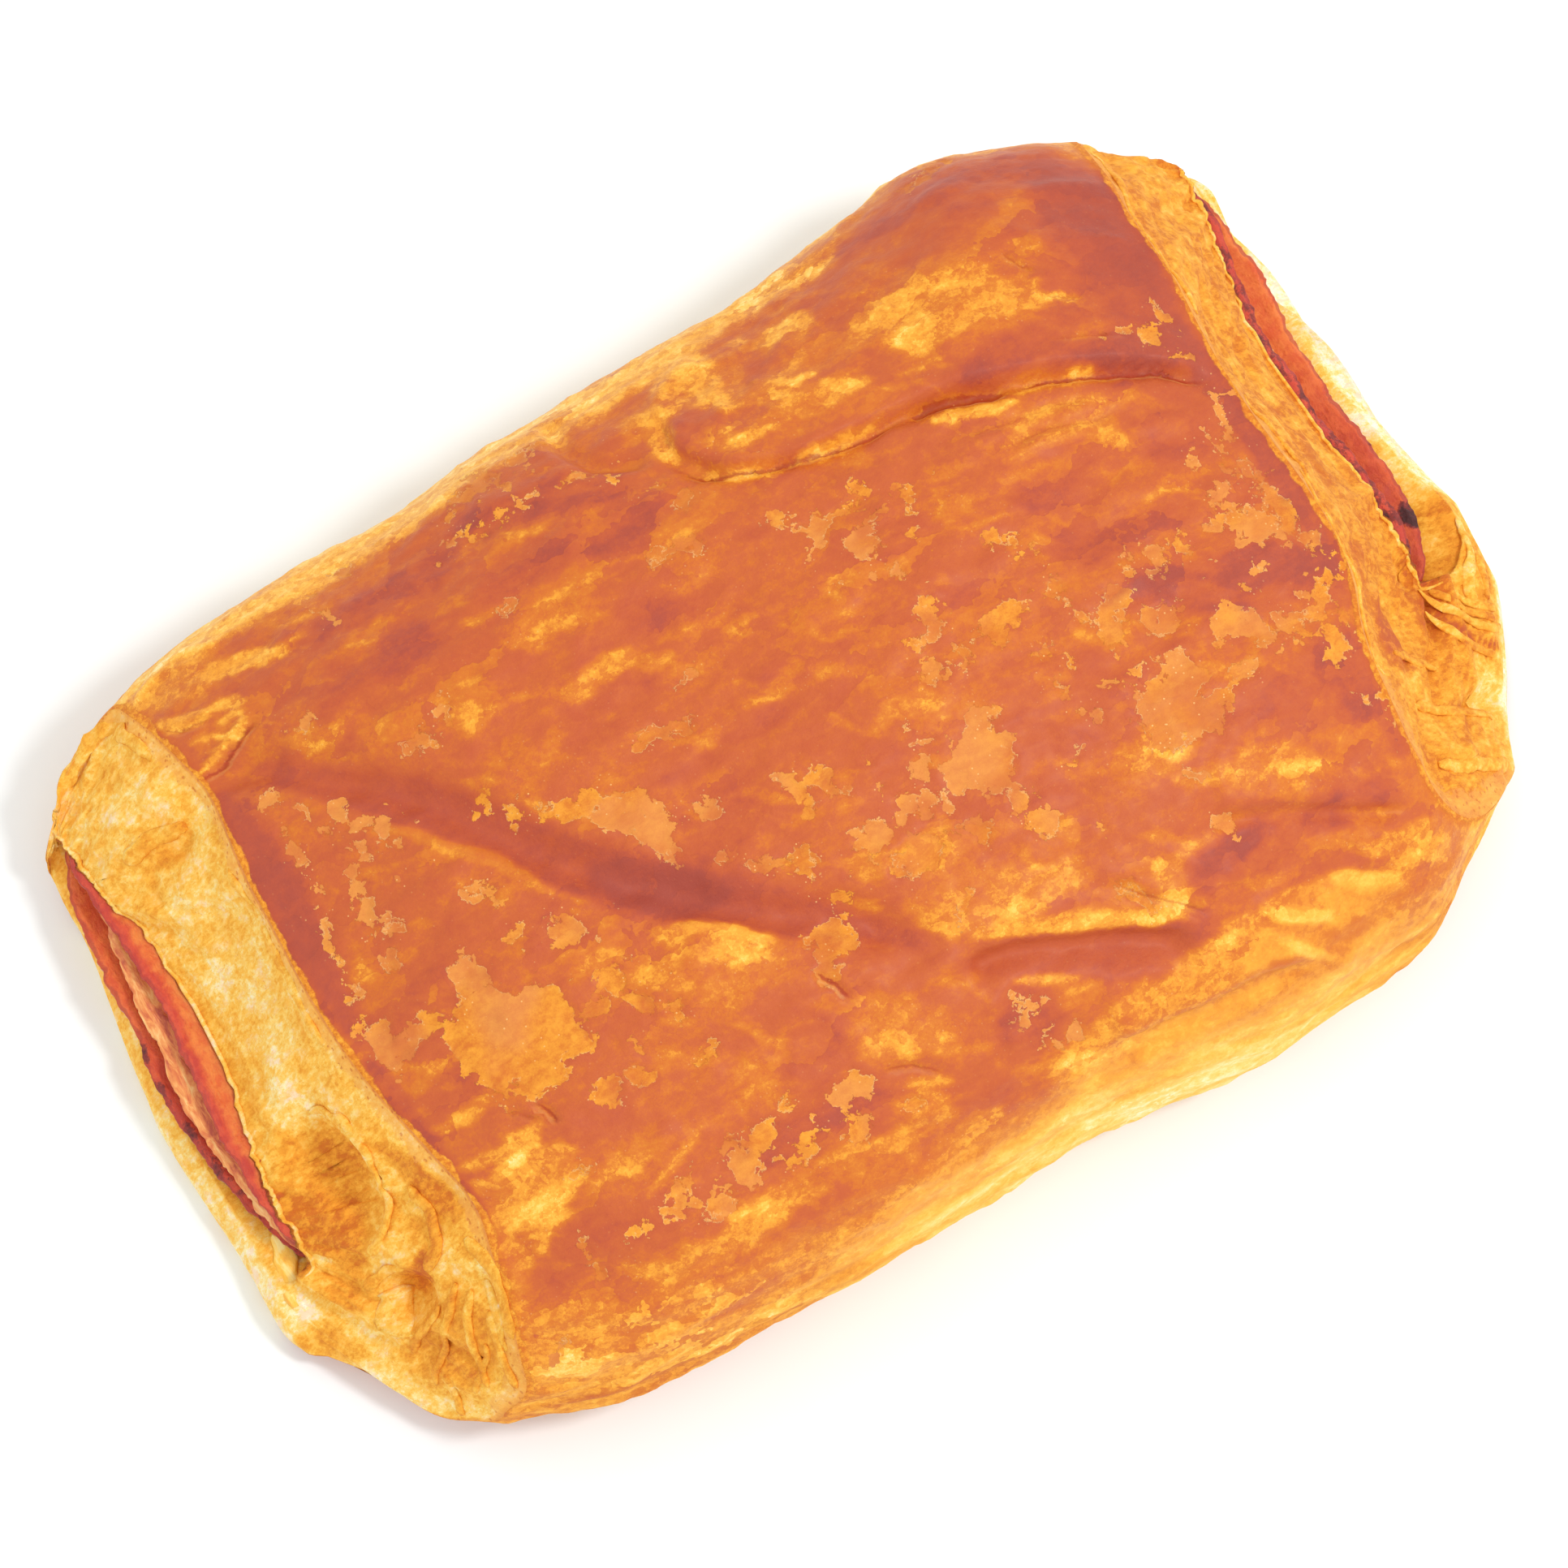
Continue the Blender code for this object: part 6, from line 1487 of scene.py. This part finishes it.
def makeHamMaterial(name, red, deep, orange, orangeDeep):
    look = hamLook
    made, n, shader = newMaterial(name, look["constants"])
    place = n.placeInMm()
    grain = n.noise(n.stretched(place, (1.3, 0.45, 1.0)), *look["grain"])
    clots, share = n.noise(place, *look["clots"]), 0.5
    mixed = n.plus(n.times(grain, share), n.times(clots, 1 - share))
    meat = n.mix(n.between(mixed, 0.42, 0.58), srgb(*deep), srgb(*red))
    glow = n.mix(n.between(mixed, 0.40, 0.60), srgb(*orangeDeep), srgb(*orange))
    # painted light: where it falls, the meat takes the orange tones
    colour = n.mix(n.attribute("paintedLight"), meat, glow)
    seared = n.between(n.sway(n.attribute("edge"), (mixed, 1.6)), 0.35, 0.95)
    colour = n.tint(colour, seared, look["searTone"], 0.5)
    charred = n.sway(n.attribute("burn"), (clots, 2.0))
    colour = n.tint(colour, n.between(charred, 0.40, 0.66), look["burnTone"])
    n.put(shader, "Base Color", n.tint(colour, n.between(charred, 0.68, 0.98), look["charTone"]))
    parts = {"grain": mixed, "crumb": n.group(crumbGrain, Place=place, **look["crumb"])["Height"]}
    n.bump(shader, weighted(n, parts, look["height"]), **look["bump"])
    n.put(shader, "Roughness", n.between(grain, *look["roughRange"]))
    n.put(shader, "Coat Weight", n.between(charred, *look["coatRange"]))
    return made


def makeCheeseMaterial():
    look = cheeseLook
    made, n, shader = newMaterial("meltedCheese", look["constants"])
    place = n.placeInMm()
    soft = n.noise(n.stretched(place, (1.6, 0.4, 1.0)), *look["soft"])
    colours = [n.ramp(soft, look[key]) for key in ("slice", "pool")]
    n.put(shader, "Base Color", n.mix(n.attribute("bake"), *colours))
    n.bump(shader, n.group(crumbGrain, Place=place, **look["crumb"])["Height"], **look["bump"])
    n.put(shader, "Roughness", n.between(soft, *look["roughRange"]))
    n.put(shader, "Coat Weight", n.between(soft, *look["coatRange"]))
    return made


def slicePaint(x, y, fromEnd, seed, paint):     # how seared and burnt the ham is at each point, and where painted light turns it orange
    shape = sliceShape

    def amount(key):
        return paint.get(key, 0.0)

    left = ramp(0, -10, x)
    # painted light turns the ham orange: towards the right end, towards the far side at the left end, and as a
    # painted glow further in from the cut end
    least = 0.25
    paintedLight = ramp(-20, 10, x) * (least + (1 - least) * ramp(2, 16, y))
    glow = ramp(0.7, 1.5, fromEnd + uneven((0.4, 1.4, 1, 9, 3), y, np.zeros_like(y), seed))
    farRed = ramp(*shape["farSide"], y)
    burn = (amount("maroon") * ramp(16, -4, y) * left
            + amount("maroonRight") * ramp(20, 40, x))
    ragged = uneven((0.5, 1.6, 2.4, 11, 3), x, y, seed)
    for *oval, level in paint.get("burns", []):
        burn = np.maximum(burn, level * ramp(1.3, 0.3, ovalSpan(x, y, *oval) + ragged))
    seared = fromEnd + uneven((0.3, 2, 2, 8, 2), x, y, seed)
    return {"edge": ramp(paint["sear"], 0.15, seared), "burn": burn,
            "paintedLight": amount("paintedLight") * paintedLight + left * (amount("farRed") * farRed + amount("innerGlow") * glow)}


def makeSlice(name, node, low, high, clearance, ends, seed, finish, paint):
    shape = sliceShape
    rows, columns = shape["rows"], shape["columns"]
    across = np.linspace(-1, 1, columns)[None, :]
    crowding = 5
    share = np.tanh((np.linspace(0, 1, rows) - 0.5) * crowding) / math.tanh(0.5 * crowding)
    share = (0.5 + 0.5 * share)[:, None]
    edge = []
    for end in (-1, 1):
        y = fillingCentre(filling["reach"] * end) + filling["halfWidth"] * across
        waver = uneven(shape["waver"], y, np.zeros_like(y), seed + end)
        waver = waver + uneven(shape["ragged"], y, np.full_like(y, shape["raggedRow"]), seed)
        corner = end * shape["corner"] * np.abs(across) ** 8
        edge.append(smoothCurve(ends[end], y) + waver - corner)
    x = edge[0] + (edge[1] - edge[0]) * share
    y = fillingCentre(x) + filling["halfWidth"] * across
    fromEnd = np.minimum(x - edge[0], edge[1] - x)
    thin = thinning(x, y)
    (curlStart, curlMore), (curlLength, curlSeed) = (0.5, 0.7), (3.3, 4)
    curl = shape["curl"] * paint.get("curl", 0.0) * ramp(3.0, 0.0, fromEnd)
    curl = curl * (curlStart + curlMore * noise(y / curlLength, x * 0 + seed, seed + curlSeed))
    rounding = 1 - np.clip(fromEnd / shape["edgeRound"], 0, 1)
    half = 0.5 * (high - low) * thin * (1 - 0.45 * rounding)
    wave = uneven(shape["wave"], x, y, seed) * ramp(12, 4, fromEnd)
    centre = fillingMiddle(x, y) + curl + 0.5 * (high + low) * thin + clearance + wave
    grids = [np.stack([x, y, centre - half], 2), np.stack([x, y, centre + half], 2)]
    count = rows * columns
    under = gridFaces(rows, columns, False, False)
    over = gridFaces(rows, columns, False, False, count)[:, ::-1]
    rim = ([(i, 0) for i in range(rows)] + [(rows - 1, j) for j in range(1, columns)]
           + [(i, columns - 1) for i in range(rows - 2, -1, -1)] + [(0, j) for j in range(columns - 2, 0, -1)])
    rim = np.array([i * columns + j for i, j in rim])
    beside = np.roll(rim, -1)
    side = np.stack([rim, rim + count, beside + count, beside], 1)
    values = slicePaint(x, y, fromEnd, seed, paint)
    both = {key: np.concatenate([value.ravel(), value.ravel()]) for key, value in values.items()}
    made = addMesh(name, np.concatenate([grid.reshape(-1, 3) for grid in grids]),
                   np.concatenate([under, over, side])[:, ::-1], [finish], both)
    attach(made, "root")
    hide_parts(node)
    return made


hamLowerFinish = makeHamMaterial("hamLowerMeat", (220, 84, 46), (196, 62, 40), (246, 132, 56), (232, 98, 42))
hamUpperFinish = makeHamMaterial("hamUpperMeat", (226, 88, 54), (204, 64, 46), (244, 140, 64), (232, 104, 46))
cheeseFinish = makeCheeseMaterial()
halfCheese = 0.5 * filling["cheese"]
hamFace = halfCheese + filling["ham"]
hamLower = makeSlice("hamLower", "ham_lower", -hamFace, -halfCheese, -filling["sliceGap"],
                     sliceShape["hamLowerEnd"], 61, hamLowerFinish,
                     {"sear": 0.5, "curl": 1.0, "paintedLight": 1.0, "farRed": 0.7, "maroon": 0.42,
                      "burns": [(-64.3, 8, 1.6, 5, 0.75), (-64.4, 3, 1.4, 4, 0.66), (-64.2, -2, 1.6, 6, 0.6),
                                (-63.8, -6, 1.6, 4, 0.6), (61.9, -6.8, 3.4, 4.2, 0.95), (61.4, 32, 3, 3, 0.85),
                                (61.8, 13.2, 1.4, 1.8, 0.66), (61.9, 9.4, 1, 1.6, 0.55),
                                (61.9, 5.6, 0.9, 2.4, 0.55), (62, 1.6, 0.9, 2, 0.55)]})
cheeseSlice = makeSlice("cheeseSlice", "cheese", -halfCheese, halfCheese, 0,
                        sliceShape["cheeseEnd"], 62, cheeseFinish, {"sear": 0.4})
hamUpper = makeSlice("hamUpper", "ham_upper", halfCheese, hamFace, filling["sliceGap"],
                     sliceShape["hamUpperEnd"], 63, hamUpperFinish,
                     {"sear": 0.3, "curl": 0.15, "innerGlow": 1.0, "maroonRight": 0.52,
                      "burns": [(-61.9, -13.4, 1.2, 1.6, 0.8), (58.9, -6, 0.8, 2, 0.8),
                                (58.4, 6, 0.8, 1.6, 0.75)]})
poolShape = {"line": [(-60.9, -12.6, 6.6), (-62.0, -15, 6.6), (-62.9, -17.4, 6.5), (-63.2, -19.6, 6.2)],
             "step": 0.3, "faces": [-0.35, -0.1, 0.93], "halfWidth": 1.1, "thickness": 0.6}
pool = evenSteps(poolShape["line"], poolShape["step"])
poolOut = np.tile(poolShape["faces"], (len(pool), 1))
poolStrand = (pool, poolOut, poolShape["halfWidth"], poolShape["thickness"], 1.0, 1.0)
cheesePool = joinStrands("cheesePool", [poolStrand], cheeseFinish, "cheese")
print("stage: ham and cheese made")

studio = {"worldStrength": 0.98, "keyPower": 1.9, "keySize": 0.12, "keyFrom": (0.33, -0.27, 0.905),
          "keyDistance": 0.75, "floorTint": (0.91, 0.955, 0.97, 1.0)}
viewing = {"azimuth": -30.0, "elevation": 75.0, "distance": 0.529, "target": (-0.0034, -0.0012, 0.016),
           "lens": 135.0, "sensor": 36.0, "clip": (0.01, 20.0)}


def addObject(name, data):
    made = bpy.data.objects.new(name, data)
    bpy.context.scene.collection.objects.link(made)
    return made


def aim(made, away, distance, target=(0, 0, 0)):       # stands off the target and faces it
    made.location = Vector(target) + away * distance
    made.rotation_mode = "QUATERNION"
    made.rotation_quaternion = (-away).to_track_quat("-Z", "Y")


half = 3
floorMesh = bpy.data.meshes.new("floor")
corners = [(-half, -half, 0), (half, -half, 0), (half, half, 0), (-half, half, 0)]
floorMesh.from_pydata(corners, [], [(0, 1, 2, 3)])
floorMesh.materials.append(newMaterial("plainFloor", {"Roughness": 0.9, "Specular IOR Level": 0.0,
                                                      "Base Color": studio["floorTint"]})[0])
floor = addObject("floor", floorMesh)

world = bpy.data.worlds.new("studio")
world.use_nodes = True
world.node_tree.nodes["Background"].inputs["Color"].default_value = (1, 1, 1, 1)
world.node_tree.nodes["Background"].inputs["Strength"].default_value = studio["worldStrength"]
bpy.context.scene.world = world
keyLamp = bpy.data.lights.new("key", "AREA")
keyLamp.shape, keyLamp.size, keyLamp.energy = "DISK", studio["keySize"], studio["keyPower"]
aim(addObject("key", keyLamp), Vector(studio["keyFrom"]).normalized(), studio["keyDistance"])

bpy.context.scene.view_settings.view_transform = "Standard"
a, e = math.radians(viewing["azimuth"]), math.radians(viewing["elevation"])
away = Vector((math.sin(a) * math.cos(e), -math.cos(a) * math.cos(e), math.sin(e)))
cameraData = bpy.data.cameras.new("camera")
cameraData.lens, cameraData.sensor_width = viewing["lens"], viewing["sensor"]
cameraData.clip_start, cameraData.clip_end = viewing["clip"]
camera = addObject("camera", cameraData)
aim(camera, away, viewing["distance"], viewing["target"])
bpy.context.scene.camera = camera
print("stage: floor, light and camera placed")
